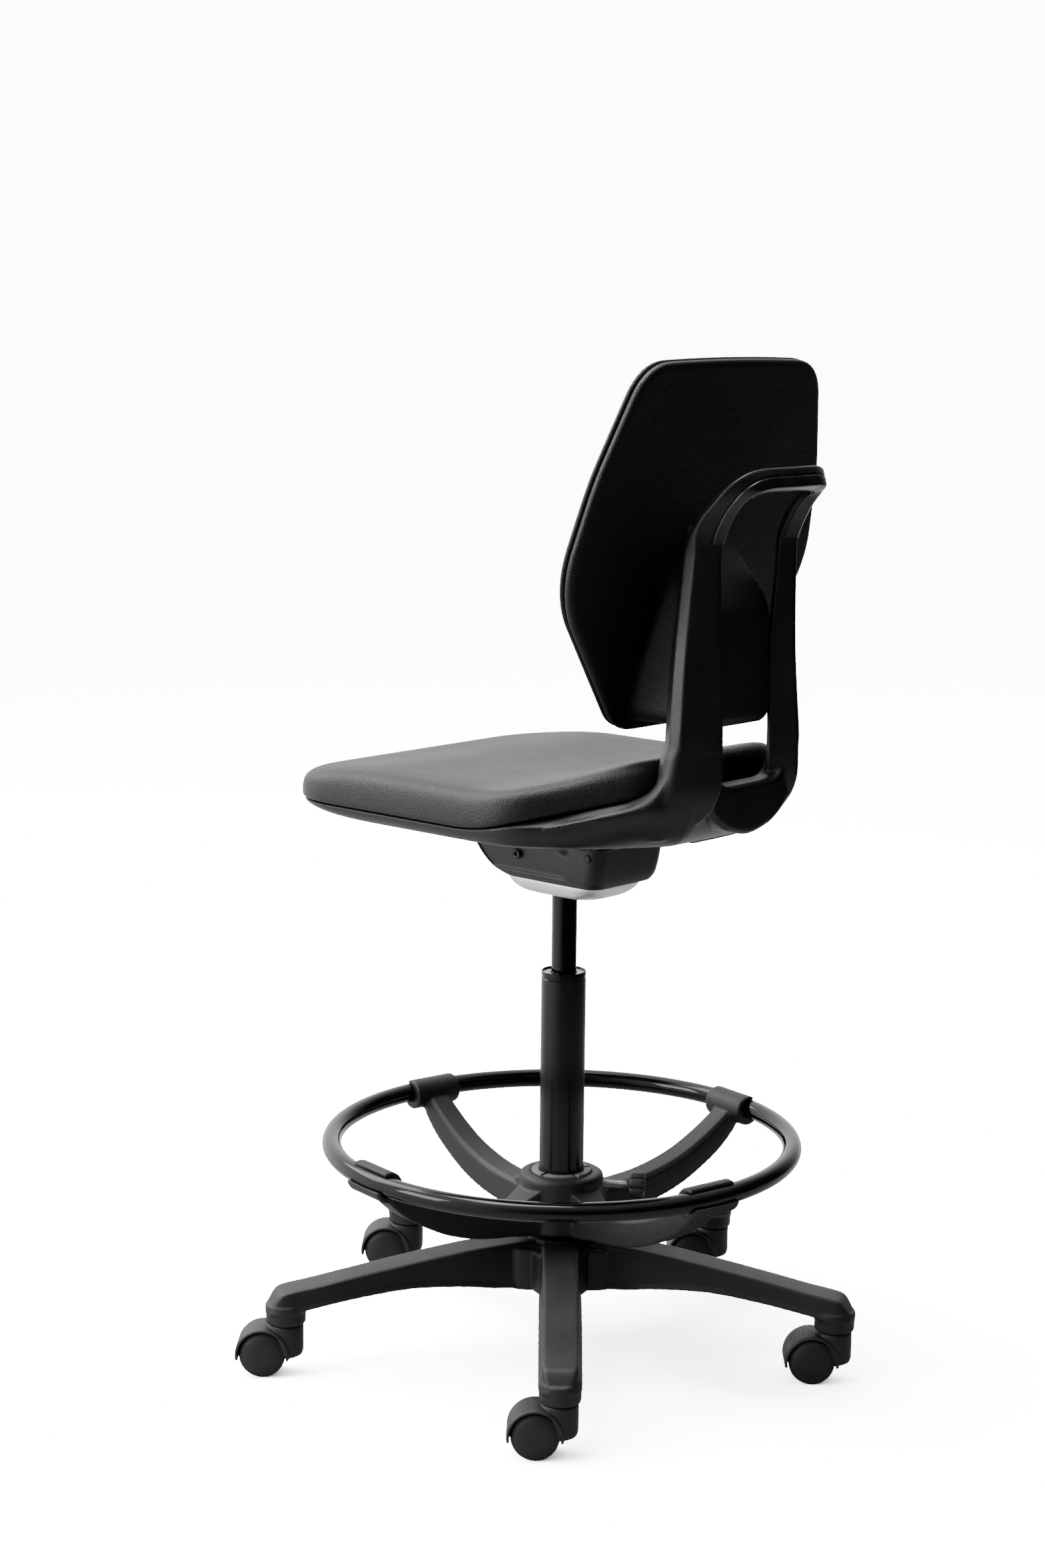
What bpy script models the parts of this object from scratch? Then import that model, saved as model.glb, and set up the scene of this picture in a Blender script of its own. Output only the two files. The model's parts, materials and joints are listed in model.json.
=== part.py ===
"""Drafting chair on a five-leg castor base, with a foot ring, a gas lift and a tilting seat.

Metres, +Z up. The sitter faces -Y, so +Y is the rear and +X is the sitter's left.
"""
import math

import bmesh
import bpy
from mathutils import Matrix, Vector

# ---- driving dimensions ----
COLUMN_X = 0.0055        # column axis from the middle of the chair's box
COLUMN_Y = 0.0258
GAP = 0.0003             # between pieces that touch
ROUND_STEPS = 24         # sides of a turned piece
SHARP_ANGLE = math.radians(38)
STRAIGHT_BEND = math.radians(4)   # a corner flatter than this stays a single point

# base
LEG_COUNT = 5
LEG_TURN = 41.8          # degrees from +X to the first leg
LEG_RADIUS = 0.317       # column axis to castor axis
BOSS_RADIUS = 0.0225
BOSS_BOTTOM = 0.058
BOSS_COLLAR_TOP = 0.070
HUB_RADIUS = 0.046
HUB_BOTTOM = 0.075
HUB_TOP = 0.1345
# (distance from the column, underside, top, half width)
LEG_STATIONS = (
    (0.020, 0.080, 0.131, 0.0235),
    (0.070, 0.081, 0.130, 0.0235),
    (0.120, 0.088, 0.126, 0.0235),
    (0.180, 0.091, 0.118, 0.0235),
    (0.240, 0.085, 0.109, 0.0235),
    (0.295, 0.077, 0.100, 0.0235),
    (0.325, 0.072, 0.093, 0.0222),
    (0.336, 0.071, 0.087, 0.0165),
)
LEG_EDGE = 0.004         # bevel along a leg's top edges

# castors
WHEEL_RADIUS = 0.0255
WHEEL_OFFSET = 0.025     # wheel axle behind the castor's stem
TRAIL_TURN = -48.6       # degrees from +X to the side the wheels trail to
AXLE_RADIUS = 0.003
AXLE_HALF = 0.019
HOOD_RADIUS = 0.030
HOOD_HALF = 0.022
HOOD_TOP = 0.0575
HOOD_BOTTOM = 0.0195
HOOD_WEB_HALF = 0.0035
STEM_HOUSING_RADIUS = 0.0195
WHEEL_CLEARANCE = 0.0262
STEM_RADIUS = 0.0055
STEM_BOTTOM = 0.040
STEM_TOP = 0.082

# gas lift
TUBE_RADIUS = 0.025
TUBE_WALL = 0.0015
TUBE_BOTTOM = 0.068
TUBE_TOP = 0.436
ROD_RADIUS = 0.005
PISTON_BOTTOM = 0.335
PISTON_TOP = 0.350
COLUMN_RADIUS = 0.014
COLUMN_BORE = 0.0115
COLUMN_BOTTOM = 0.195
COLUMN_TOP = 0.562
VALVE_RADIUS = 0.004
VALVE_TOP = 0.570

# foot ring
RING_RADIUS = 0.2577
RING_TUBE_RADIUS = 0.0095
RING_HEIGHT = 0.240
SPIDER_TURN = 79.4       # degrees from +X to the first arm
SPIDER_ARMS = 4
SPIDER_RADIUS = 0.0475
SPIDER_BOTTOM = 0.140
SPIDER_TOP = 0.205
BUSH_RADIUS = 0.0335
# (distance from the column, underside, top, half width)
ARM_STATIONS = (
    (0.030, 0.140, 0.180, 0.0190),
    (0.080, 0.146, 0.181, 0.0190),
    (0.130, 0.154, 0.187, 0.0185),
    (0.175, 0.168, 0.201, 0.0175),
    (0.215, 0.190, 0.223, 0.0165),
    (0.240, 0.212, 0.240, 0.0160),
    (0.250, 0.224, 0.246, 0.0160),
)
ARM_EDGE = 0.003
SADDLE_RADIUS = 0.0175
SADDLE_HALF = 0.030
SCREW_HEIGHT = 0.192
SCREW_RADIUS = 0.004
SCREW_TIP = 0.0256
KNOB_NEAR = 0.074
KNOB_FAR = 0.094
KNOB_RADIUS = 0.0155
KNOB_LOBES = 7

# tilt mechanism
PIVOT_Y = -0.021
PIVOT_Z = 0.572
LOCK_Y = 0.083
LOCK_Z = 0.581
PIVOT_RADIUS = 0.005
PIVOT_HALF = 0.0525
PIVOT_BORE = PIVOT_RADIUS + GAP
HOUSING_TOP = 0.590
HOUSING_BOTTOM = 0.545
HOUSING_WALL = 0.003
HOUSING_HALF = 0.0580
# (height, half width, front, rear) of the housing's outer wall
HOUSING_STATIONS = (
    (HOUSING_BOTTOM, 0.0515, -0.051, 0.081),
    (0.556, HOUSING_HALF, -0.068, 0.090),
    (HOUSING_TOP, HOUSING_HALF, -0.098, 0.098),
)
CARRIER_LOW = (-0.042, -0.048, 0.548)
CARRIER_HIGH = (0.042, 0.072, HOUSING_TOP - 0.004)
CARRIER_WALL = 0.004
CONE_RADIUS = 0.021
CONE_LOW = 0.5465
CONE_HIGH = 0.5585
PLATE_BOTTOM = 0.526
# (height, half width, front, rear, corner) of the cover below the housing
PLATE_STATIONS = (
    (PLATE_BOTTOM, 0.030, -0.028, 0.058, 0.026),
    (PLATE_BOTTOM + 0.004, 0.041, -0.041, 0.070, 0.026),
    (PLATE_BOTTOM + 0.012, 0.048, -0.048, 0.077, 0.022),
    (HOUSING_BOTTOM - GAP, 0.049, -0.049, 0.078, 0.020),
)
LEVER_Z = 0.5745
LEVER_RADIUS = 0.004
LEVER_PIVOT_X = -0.026
LEVER_REACH = -0.172     # outer end of the height lever's rod
LEVER_INNER = 0.004
LOCK_REACH = -0.160
LOCK_INNER = 0.0590
PADDLE_COVER = 0.044     # how much of a rod its paddle covers
# (distance along the rod, half width, half thickness)
PADDLE_STATIONS = (
    (0.0, 0.0065, 0.0065), (-0.020, 0.0075, 0.0065), (-0.045, 0.013, 0.0050),
    (-0.070, 0.014, 0.0040), (-0.078, 0.010, 0.0030),
)
SPRING_FOOT = (0, 0.050, 0.5535)
SPRING_HEIGHT = 0.0525
SPRING_TURNS = 5
SPRING_RADIUS = 0.0105
SPRING_WIRE = 0.0012
FRAME_TOP = 0.6107
FRAME_THICKNESS = 0.004
FRAME_BOTTOM = FRAME_TOP - FRAME_THICKNESS
FRAME_HALF = 0.085
FRAME_FRONT = -0.115
FRAME_REAR = 0.080
EAR_NEAR = 0.0445
EAR_FAR = 0.0495
SEAT_SCREWS = tuple((x, y) for x in (-0.070, 0.070) for y in (-0.100, 0.020))
SEAT_SCREW_RADIUS = 0.003
SEAT_SCREW_HEAD = 0.0055
SEAT_SCREW_TOP = 0.6260

# seat
SEAM_FRONT = 0.629
SEAM_SLOPE = 0.271
SHELL_BOTTOM = 0.611
NOSE_SLOPE = 0.08
SEAM_KNEE = 0.060        # where the seam starts to rise towards the rear
NOSE_KNEE = -0.130       # where the shell starts to thin towards the front
SEAT_CORNERS = (
    (0.213, -0.239, 0.060), (0.2128, SEAM_KNEE, 0.004), (0.2122, 0.100, 0.050), (0.108, 0.205, 0.030),
)
SHELL_CORNERS = (
    (0.2115, -0.2375, 0.058), (0.2115, NOSE_KNEE, 0.004), (0.2112, SEAM_KNEE, 0.004),
    (0.2105, 0.102, 0.050), (0.120, 0.222, 0.040), (0.080, 0.254, 0.020),
)
# (inset, share of the height) of the shell's side, from its underside to the seam
SHELL_RINGS = ((0.034, 0.0), (0.014, 0.16), (0.004, 0.50), (0.002, 1.0))
SHELL_FLOOR = 0.6180     # inside floor of the hollow under the cushion
CUSHION_HEIGHT = 0.041

# back bracket: (x, y, z, facing, width, thickness) of its loop from the middle of the
# web up the left blade to the middle of the handle; facing 0 looks to the rear, 90 outward
LOOP_STATIONS = (
    (0.0000, 0.2430, 0.6500, 0, 0.0600, 0.0280),
    (0.0340, 0.2430, 0.6510, 0, 0.0600, 0.0280),
    (0.0570, 0.2420, 0.6640, 20, 0.0590, 0.0300),
    (0.0710, 0.2400, 0.6950, 36, 0.0570, 0.0340),
    (0.0745, 0.2390, 0.7300, 40, 0.0545, 0.0335),
    (0.0707, 0.2372, 0.8100, 40, 0.0485, 0.0300),
    (0.0703, 0.2402, 0.8900, 40, 0.0400, 0.0200),
    (0.0690, 0.2430, 0.9300, 42, 0.0360, 0.0200),
    (0.0672, 0.2565, 0.9580, 40, 0.0320, 0.0205),
    (0.0640, 0.2740, 0.9780, 36, 0.0280, 0.0210),
    (0.0560, 0.2865, 0.9890, 30, 0.0245, 0.0210),
    (0.0420, 0.2925, 0.9935, 24, 0.0225, 0.0210),
    (0.0200, 0.2945, 0.9945, 21, 0.0220, 0.0210),
    (0.0000, 0.2950, 0.9945, 20, 0.0220, 0.0210),
)
LOOP_EDGE = 0.006        # bevel along the loop
GRIP_FIRST = 7           # the station where the hand grip begins
GRIP_THICKNESS = 0.0035
GRIP_WIDTH = 0.0175
GRIP_INLAY = 0.0018      # how deep the grip is set into the handle
GRIP_ROOM = 0.0012       # clearance around the grip in its recess

# backrest, in the plane of its rear face
BACK_LEAN = math.radians(14.2)
BACK_FOOT_Y = 0.1310
BACK_FOOT_Z = 0.725
BACK_CORNERS = (
    (0.060, 0.000, 0.030), (0.195, 0.160, 0.060), (0.180, 0.262, 0.200), (0.137, 0.395, 0.030),
)
# (inset, depth behind the rear face's plane) of each ring
SHELL_EDGE = ((0.0030, -0.0080), (0.0, -0.0060), (0.0, -0.0030), (0.0040, 0.0))
CUSHION_EDGE = (
    (0.0040, -0.0083), (0.0010, -0.0110), (0.0012, -0.0145), (0.0110, -0.0210), (0.0320, -0.0290),
)
BULGE_REAR = 0.2118
BULGE_HALF = 0.036
BULGE_FOOT = 0.050
BULGE_SINK = 0.004       # how deep the bulge's foot sits in the shell
# (rearward position, height) round the bulge's middle
BULGE_SIDE = (
    (0.126, 0.735), (0.180, 0.731), (BULGE_REAR, 0.752), (BULGE_REAR, 0.850), (0.203, 0.895),
    (0.182, 0.925),
)
SLIDER_BOTTOM = 0.745
SLIDER_TOP = 0.845
SLIDER_FRONT = BULGE_REAR + GAP
SLIDER_REAR = 0.225
SLIDER_FRONT_HALF = 0.0762
SLIDER_REAR_HALF = 0.0610

MATERIALS = {
    "polyamide": ((0.020, 0.020, 0.021), 0.45, 0.0),
    "castor_plastic": ((0.028, 0.028, 0.029), 0.50, 0.0),
    "black_lacquer": ((0.008, 0.008, 0.009), 0.12, 0.0),
    "satin_black_steel": ((0.010, 0.010, 0.011), 0.30, 0.6),
    "zinc_steel": ((0.55, 0.56, 0.58), 0.30, 1.0),
    "light_metal": ((0.68, 0.66, 0.63), 0.40, 1.0),
    "seat_foam": ((0.045, 0.044, 0.044), 0.55, 0.0),
    "grip_rubber": ((0.010, 0.010, 0.010), 0.25, 0.0),
    "bush_plastic": ((0.33, 0.33, 0.33), 0.45, 0.0),
}


# ---- scene and materials ----
def clear_scene():
    for obj in list(bpy.data.objects):
        bpy.data.objects.remove(obj, do_unlink=True)


def new_collection(name):
    collection = bpy.data.collections.new(name)
    bpy.context.scene.collection.children.link(collection)
    return collection


def principled(name, slot):
    """One material for one sub-part, from the shared table of finishes."""
    color, roughness, metallic = MATERIALS[slot]
    mat = bpy.data.materials.new(name)
    mat.use_nodes = True
    shader = mat.node_tree.nodes["Principled BSDF"]
    shader.inputs["Base Color"].default_value = (*color, 1.0)
    shader.inputs["Roughness"].default_value = roughness
    shader.inputs["Metallic"].default_value = metallic
    return mat


clear_scene()
PARTS = new_collection("drafting_chair")
CUTTERS = new_collection("cutters")


def new_empty(name, location=(0, 0, 0), parent=None):
    empty = bpy.data.objects.new(name, None)
    PARTS.objects.link(empty)
    empty.location = location
    empty.parent = parent
    return empty


def add_part(obj, slot, parent, location=(0, 0, 0), rotation=(0, 0, 0)):
    obj.data.materials.clear()
    obj.data.materials.append(principled(obj.name, slot))
    obj.data.shade_smooth()
    obj.data.set_sharp_from_angle(angle=SHARP_ANGLE)
    obj.parent = parent
    obj.location = location
    obj.rotation_euler = rotation
    PARTS.objects.link(obj)
    return obj


def add_tool(obj, target, operation):
    """Let obj cut or join the part target, with obj placed in target's own axes."""
    CUTTERS.objects.link(obj)
    obj.parent = target
    obj.hide_render = True
    obj.display_type = "WIRE"
    modifier = target.modifiers.new(obj.name, "BOOLEAN")
    modifier.operation = operation
    modifier.solver = "EXACT"
    modifier.object = obj
    return obj


def cut(target, tool):
    return add_tool(tool, target, "DIFFERENCE")


def join(target, tool):
    return add_tool(tool, target, "UNION")


# ---- shapes ----
def object_from(bm, name):
    bmesh.ops.recalc_face_normals(bm, faces=bm.faces)
    mesh = bpy.data.meshes.new(name)
    bm.to_mesh(mesh)
    bm.free()
    return bpy.data.objects.new(name, mesh)


def box(name, low, high):
    bm = bmesh.new()
    bmesh.ops.create_cube(bm, size=1.0)
    low, high = Vector(low), Vector(high)
    bmesh.ops.scale(bm, vec=high - low, verts=bm.verts)
    bmesh.ops.translate(bm, vec=(high + low) / 2, verts=bm.verts)
    return object_from(bm, name)


def cylinder(name, radius, start, end, axis="Z", centre=(0, 0, 0), steps=ROUND_STEPS):
    """A cylinder from start to end along one axis, through centre."""
    bm = bmesh.new()
    bmesh.ops.create_cone(
        bm, cap_ends=True, segments=steps, radius1=radius, radius2=radius, depth=end - start)
    bmesh.ops.translate(bm, vec=(0, 0, (start + end) / 2), verts=bm.verts)
    turn = {"X": Matrix.Rotation(math.pi / 2, 4, "Y"), "Y": Matrix.Rotation(-math.pi / 2, 4, "X")}
    bmesh.ops.transform(bm, matrix=turn.get(axis, Matrix()), verts=bm.verts)
    bmesh.ops.translate(bm, vec=centre, verts=bm.verts)
    return object_from(bm, name)


def turned(name, profile, steps=ROUND_STEPS):
    """A closed profile of (radius, height), outer side first and downward, turned about Z."""
    mesh = bpy.data.meshes.new(name)
    points = [(radius, 0, height) for radius, height in profile]
    loop = len(points)
    closed = min(radius for radius, _ in profile) > 0
    edges = [(i, (i + 1) % loop) for i in range(loop if closed else loop - 1)]
    mesh.from_pydata(points, edges, [])
    obj = bpy.data.objects.new(name, mesh)
    screw = obj.modifiers.new("turn", "SCREW")
    screw.axis = "Z"
    screw.steps = steps
    screw.render_steps = steps
    screw.use_merge_vertices = True
    screw.merge_threshold = 0.00001
    return obj


def loft(name, rings, closed_path=False, strips=False):
    """A solid through rings of equal length. With strips, each ring mirrors about X = 0
    and its caps are rungs between mirrored points, so a cap may curve along Y."""
    bm = bmesh.new()
    rows = [[bm.verts.new(point) for point in ring] for ring in rings]
    count = len(rows[0])
    pairs = list(zip(rows, rows[1:]))
    if closed_path:
        pairs.append((rows[-1], rows[0]))
    for low, high in pairs:
        for i in range(count):
            j = (i + 1) % count
            bm.faces.new((low[i], low[j], high[j], high[i]))
    for row in () if closed_path else (rows[0], rows[-1]):
        if strips:
            for i in range(count // 2 - 1):
                bm.faces.new((row[i], row[i + 1], row[count - 2 - i], row[count - 1 - i]))
        else:
            bm.faces.new(row)
    return object_from(bm, name)


def offset_corners(corners, inset):
    """Move every side of a closed outline of (x, y, radius) inward by inset."""
    moved = []
    count = len(corners)
    for i, (x, y, radius) in enumerate(corners):
        here = Vector((x, y))
        before = (here - Vector(corners[i - 1][:2])).normalized()
        after = (Vector(corners[(i + 1) % count][:2]) - here).normalized()
        left_a = Vector((-before.y, before.x))
        left_b = Vector((-after.y, after.x))
        shift = (left_a + left_b) / (1 + left_a.dot(left_b)) * inset
        moved.append((x + shift.x, y + shift.y, max(radius - inset, 0.004)))
    return moved


def outline(half_corners, inset=0.0, arc_steps=4):
    """A closed outline, mirrored about X = 0, with every corner an arc. It runs from the
    front up the +X side, so point i mirrors point n - 1 - i."""
    corners = list(half_corners) + [(-x, y, r) for x, y, r in reversed(half_corners)]
    corners = offset_corners(corners, inset)
    count = len(corners)
    points = []
    for i, (x, y, radius) in enumerate(corners):
        here = Vector((x, y))
        before = (here - Vector(corners[i - 1][:2])).normalized()
        after = (Vector(corners[(i + 1) % count][:2]) - here).normalized()
        bend = before.angle(after)
        if bend < STRAIGHT_BEND:
            points.append((x, y))
            continue
        setback = radius * math.tan(bend / 2)
        centre = here + (after - before).normalized() * radius / math.cos(bend / 2)
        start = here - before * setback - centre
        for k in range(arc_steps + 1):
            angle = bend * k / arc_steps
            c, s = math.cos(angle), math.sin(angle)
            points.append((centre.x + c * start.x - s * start.y, centre.y + s * start.x + c * start.y))
    return points


def radial_arm(name, stations, edge):
    """A tapering arm along +X with bevelled top edges."""
    rings = []
    for radius, low, high, half in stations:
        rings.append([
            (radius, -half, low), (radius, half, low), (radius, half, high - edge),
            (radius, half - edge, high), (radius, -half + edge, high), (radius, -half, high - edge),
        ])
    return loft(name, rings)


# ---- base ----
def build_base(parent):
    hub = cylinder("star_base", HUB_RADIUS, HUB_BOTTOM, HUB_TOP)
    add_part(hub, "polyamide", parent)
    for i in range(LEG_COUNT):
        turn = math.radians(LEG_TURN) + i * 2 * math.pi / LEG_COUNT
        leg = radial_arm(f"leg_{i + 1}", LEG_STATIONS, LEG_EDGE)
        leg.rotation_euler.z = turn
        join(hub, leg)
        spot = (LEG_RADIUS * math.cos(turn), LEG_RADIUS * math.sin(turn), 0)
        boss = cylinder(f"boss_{i + 1}", BOSS_RADIUS, BOSS_BOTTOM, BOSS_COLLAR_TOP + 0.008, centre=spot)
        join(hub, boss)
        cut(hub, cylinder(f"socket_{i + 1}", STEM_RADIUS + GAP, BOSS_BOTTOM - 0.01, STEM_TOP + GAP,
                          centre=spot, steps=12))
    cut(hub, cylinder("hub_bore", TUBE_RADIUS + GAP, 0, 0.3))
    return hub


def build_castor(parent, number):
    """One twin-wheel castor. Its own +X is the side that the wheels trail to."""
    turn = math.radians(LEG_TURN) + (number - 1) * 2 * math.pi / LEG_COUNT
    spot = (LEG_RADIUS * math.cos(turn), LEG_RADIUS * math.sin(turn), 0)
    swivel = new_empty(f"castor_{number}", spot, parent)
    swivel.rotation_euler.z = math.radians(TRAIL_TURN)
    axle_spot = (WHEEL_OFFSET, 0, WHEEL_RADIUS)

    hood = cylinder(f"castor_hood_{number}", STEM_HOUSING_RADIUS, HOOD_BOTTOM, HOOD_TOP, steps=20)
    add_part(hood, "castor_plastic", swivel)
    fender = cylinder(f"fender_{number}", HOOD_RADIUS, -HOOD_HALF, HOOD_HALF, "Y", axle_spot)
    join(hood, fender)
    cut(hood, box(f"hood_foot_{number}", (-0.05, -0.05, -0.02), (0.08, 0.05, HOOD_BOTTOM)))
    for side, label in ((1, "a"), (-1, "b")):
        inner, outer = sorted((side * HOOD_WEB_HALF, side * 0.030))
        cut(hood, cylinder(f"wheel_room_{label}_{number}", WHEEL_CLEARANCE, inner, outer, "Y", axle_spot))
    cut(hood, cylinder(f"axle_room_{number}", AXLE_RADIUS + GAP, -0.03, 0.03, "Y", axle_spot, 12))
    cut(hood, cylinder(f"stem_room_{number}", STEM_RADIUS + GAP, STEM_BOTTOM - GAP, 0.07, steps=12))

    stem = cylinder(f"castor_stem_{number}", STEM_RADIUS, STEM_BOTTOM, STEM_TOP, steps=12)
    add_part(stem, "zinc_steel", swivel)
    axle = cylinder(f"castor_axle_{number}", AXLE_RADIUS, -AXLE_HALF, AXLE_HALF, "Y", steps=12)
    add_part(axle, "zinc_steel", swivel, axle_spot)

    bore = AXLE_RADIUS + GAP
    inner_face, outer_face = HOOD_WEB_HALF + 0.0007, 0.0235
    profile = (
        (0.0, outer_face), (0.0125, outer_face - 0.0012), (0.0205, outer_face - 0.004),
        (WHEEL_RADIUS - 0.001, outer_face - 0.0075), (WHEEL_RADIUS, outer_face - 0.0085),
        (WHEEL_RADIUS, inner_face + 0.003), (0.0225, inner_face), (bore, inner_face),
        (bore, AXLE_HALF + GAP), (0.0, AXLE_HALF + GAP),
    )
    for side, label in ((1, "a"), (-1, "b")):
        wheel = turned(f"castor_wheel_{number}{label}", profile, 20)
        add_part(wheel, "castor_plastic", swivel, axle_spot, (-side * math.pi / 2, 0, 0))


# ---- gas lift ----
def build_gas_lift(parent):
    inner = TUBE_RADIUS - TUBE_WALL
    rod_hole = ROD_RADIUS + 0.0005
    tube = turned("outer_tube", (
        (TUBE_RADIUS - 0.001, TUBE_TOP), (TUBE_RADIUS, TUBE_TOP - 0.001), (TUBE_RADIUS, TUBE_BOTTOM + 0.03),
        (TUBE_RADIUS - 0.001, TUBE_BOTTOM), (rod_hole, TUBE_BOTTOM), (rod_hole, TUBE_BOTTOM + 0.004),
        (inner, TUBE_BOTTOM + 0.004), (inner, TUBE_TOP)))
    add_part(tube, "satin_black_steel", parent)
    bush = turned("guide_bush", (
        (inner - GAP, TUBE_TOP - 0.0055), (inner - GAP, 0.352),
        (COLUMN_RADIUS + GAP, 0.352), (COLUMN_RADIUS + GAP, TUBE_TOP - 0.0055)))
    add_part(bush, "castor_plastic", parent)
    ring = turned("retaining_ring", (
        (inner - GAP, TUBE_TOP - 0.002), (inner - GAP, TUBE_TOP - 0.0052),
        (COLUMN_RADIUS + 0.0008, TUBE_TOP - 0.0052), (COLUMN_RADIUS + 0.0008, TUBE_TOP - 0.002)))
    add_part(ring, "zinc_steel", parent)

    floor = TUBE_BOTTOM + 0.004
    bearing = turned("thrust_bearing", (
        (0.012, floor + 0.0065), (0.012, floor + GAP), (rod_hole, floor + GAP), (rod_hole, floor + 0.0065)))
    add_part(bearing, "zinc_steel", parent)
    rod = turned("piston_rod", (
        (0.0, PISTON_TOP), (COLUMN_BORE - GAP, PISTON_TOP), (COLUMN_BORE - GAP, PISTON_BOTTOM),
        (ROD_RADIUS, PISTON_BOTTOM), (ROD_RADIUS, TUBE_BOTTOM - 0.006), (0.0, TUBE_BOTTOM - 0.006)), 16)
    add_part(rod, "zinc_steel", parent)

    gland = ROD_RADIUS + GAP
    valve_hole = VALVE_RADIUS + GAP
    column = turned("inner_column", (
        (COLUMN_RADIUS - 0.002, COLUMN_TOP), (COLUMN_RADIUS, COLUMN_TOP - 0.004),
        (COLUMN_RADIUS, COLUMN_BOTTOM),
        (gland, COLUMN_BOTTOM), (gland, COLUMN_BOTTOM + 0.01), (COLUMN_BORE, COLUMN_BOTTOM + 0.01),
        (COLUMN_BORE, COLUMN_TOP - 0.010), (valve_hole, COLUMN_TOP - 0.010), (valve_hole, COLUMN_TOP)))
    add_part(column, "satin_black_steel", parent)
    button = turned("valve_button", (
        (0.0, VALVE_TOP), (VALVE_RADIUS, VALVE_TOP), (VALVE_RADIUS, COLUMN_TOP - 0.0095),
        (0.0, COLUMN_TOP - 0.0095)), 16)
    add_part(button, "zinc_steel", parent)


# ---- foot ring ----
def build_foot_ring(parent):
    bpy.ops.mesh.primitive_torus_add(
        major_radius=RING_RADIUS, minor_radius=RING_TUBE_RADIUS, major_segments=48, minor_segments=10)
    ring = bpy.context.object
    ring.name = "foot_ring"
    for collection in list(ring.users_collection):
        collection.objects.unlink(ring)
    add_part(ring, "black_lacquer", parent, (0, 0, RING_HEIGHT))

    spider = cylinder("ring_spider", SPIDER_RADIUS, SPIDER_BOTTOM, SPIDER_TOP)
    add_part(spider, "polyamide", parent)
    for i in range(SPIDER_ARMS):
        turn = math.radians(SPIDER_TURN) + i * 2 * math.pi / SPIDER_ARMS
        arm = radial_arm(f"ring_arm_{i + 1}", ARM_STATIONS, ARM_EDGE)
        arm.rotation_euler.z = turn
        join(spider, arm)
        saddle = cylinder(f"saddle_{i + 1}", SADDLE_RADIUS, -SADDLE_HALF, SADDLE_HALF, "Y",
                          (RING_RADIUS - 0.003, 0, RING_HEIGHT - 0.002), 20)
        saddle.rotation_euler.z = turn
        join(spider, saddle)
        mouth = box(f"saddle_mouth_{i + 1}", (RING_RADIUS + 0.002, -0.05, RING_HEIGHT - 0.006),
                    (RING_RADIUS + 0.05, 0.05, RING_HEIGHT + 0.03))
        mouth.rotation_euler.z = turn
        cut(spider, mouth)
    bpy.ops.mesh.primitive_torus_add(
        major_radius=RING_RADIUS, minor_radius=RING_TUBE_RADIUS + 2 * GAP, major_segments=48,
        minor_segments=10)
    groove = bpy.context.object
    groove.name = "ring_groove"
    for collection in list(groove.users_collection):
        collection.objects.unlink(groove)
    groove.location.z = RING_HEIGHT
    cut(spider, groove)
    cut(spider, cylinder("spider_bore", BUSH_RADIUS + GAP, 0.1, 0.3))

    screw_turn = math.radians(SPIDER_TURN + 45)
    bush = turned("ring_bush", (
        (BUSH_RADIUS, SPIDER_TOP + 0.0025), (BUSH_RADIUS, SPIDER_BOTTOM + 0.002),
        (TUBE_RADIUS + GAP, SPIDER_BOTTOM + 0.002), (TUBE_RADIUS + GAP, SPIDER_TOP + 0.0025)))
    add_part(bush, "bush_plastic", parent)
    for part in (spider, bush):
        hole = cylinder(f"screw_room_{part.name}", SCREW_RADIUS + GAP, 0.018, 0.06, "X",
                        (0, 0, SCREW_HEIGHT), 12)
        hole.rotation_euler.z = screw_turn
        cut(part, hole)

    handle = new_empty("ring_screw", (0, 0, SCREW_HEIGHT), parent)
    handle.rotation_euler.z = screw_turn
    spindle = cylinder("screw_spindle", SCREW_RADIUS, SCREW_TIP, KNOB_NEAR + 0.012, "X", steps=12)
    add_part(spindle, "zinc_steel", handle)
    rings = []
    lobe_points = KNOB_LOBES * 6
    for x, scale in ((KNOB_NEAR, 0.93), (KNOB_NEAR + 0.002, 1.0), (KNOB_FAR - 0.002, 1.0), (KNOB_FAR, 0.93)):
        ring_points = []
        for k in range(lobe_points):
            angle = 2 * math.pi * k / lobe_points
            radius = scale * (KNOB_RADIUS + 0.0010 * math.cos(KNOB_LOBES * angle))
            ring_points.append((x, radius * math.cos(angle), radius * math.sin(angle)))
        rings.append(ring_points)
    knob = loft("screw_knob", rings)
    add_part(knob, "polyamide", handle)
    cut(knob, cylinder("spindle_room", SCREW_RADIUS + GAP, KNOB_NEAR - 0.01, KNOB_NEAR + 0.0123, "X",
                       steps=12))


# ---- tilt mechanism ----
def ring_box(half_x, front, rear, z, corner=0.012):
    """A rounded rectangle at height z."""
    return [(x, y, z) for x, y in outline(((half_x, front, corner), (half_x, rear, corner)), 0, 3)]


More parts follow.
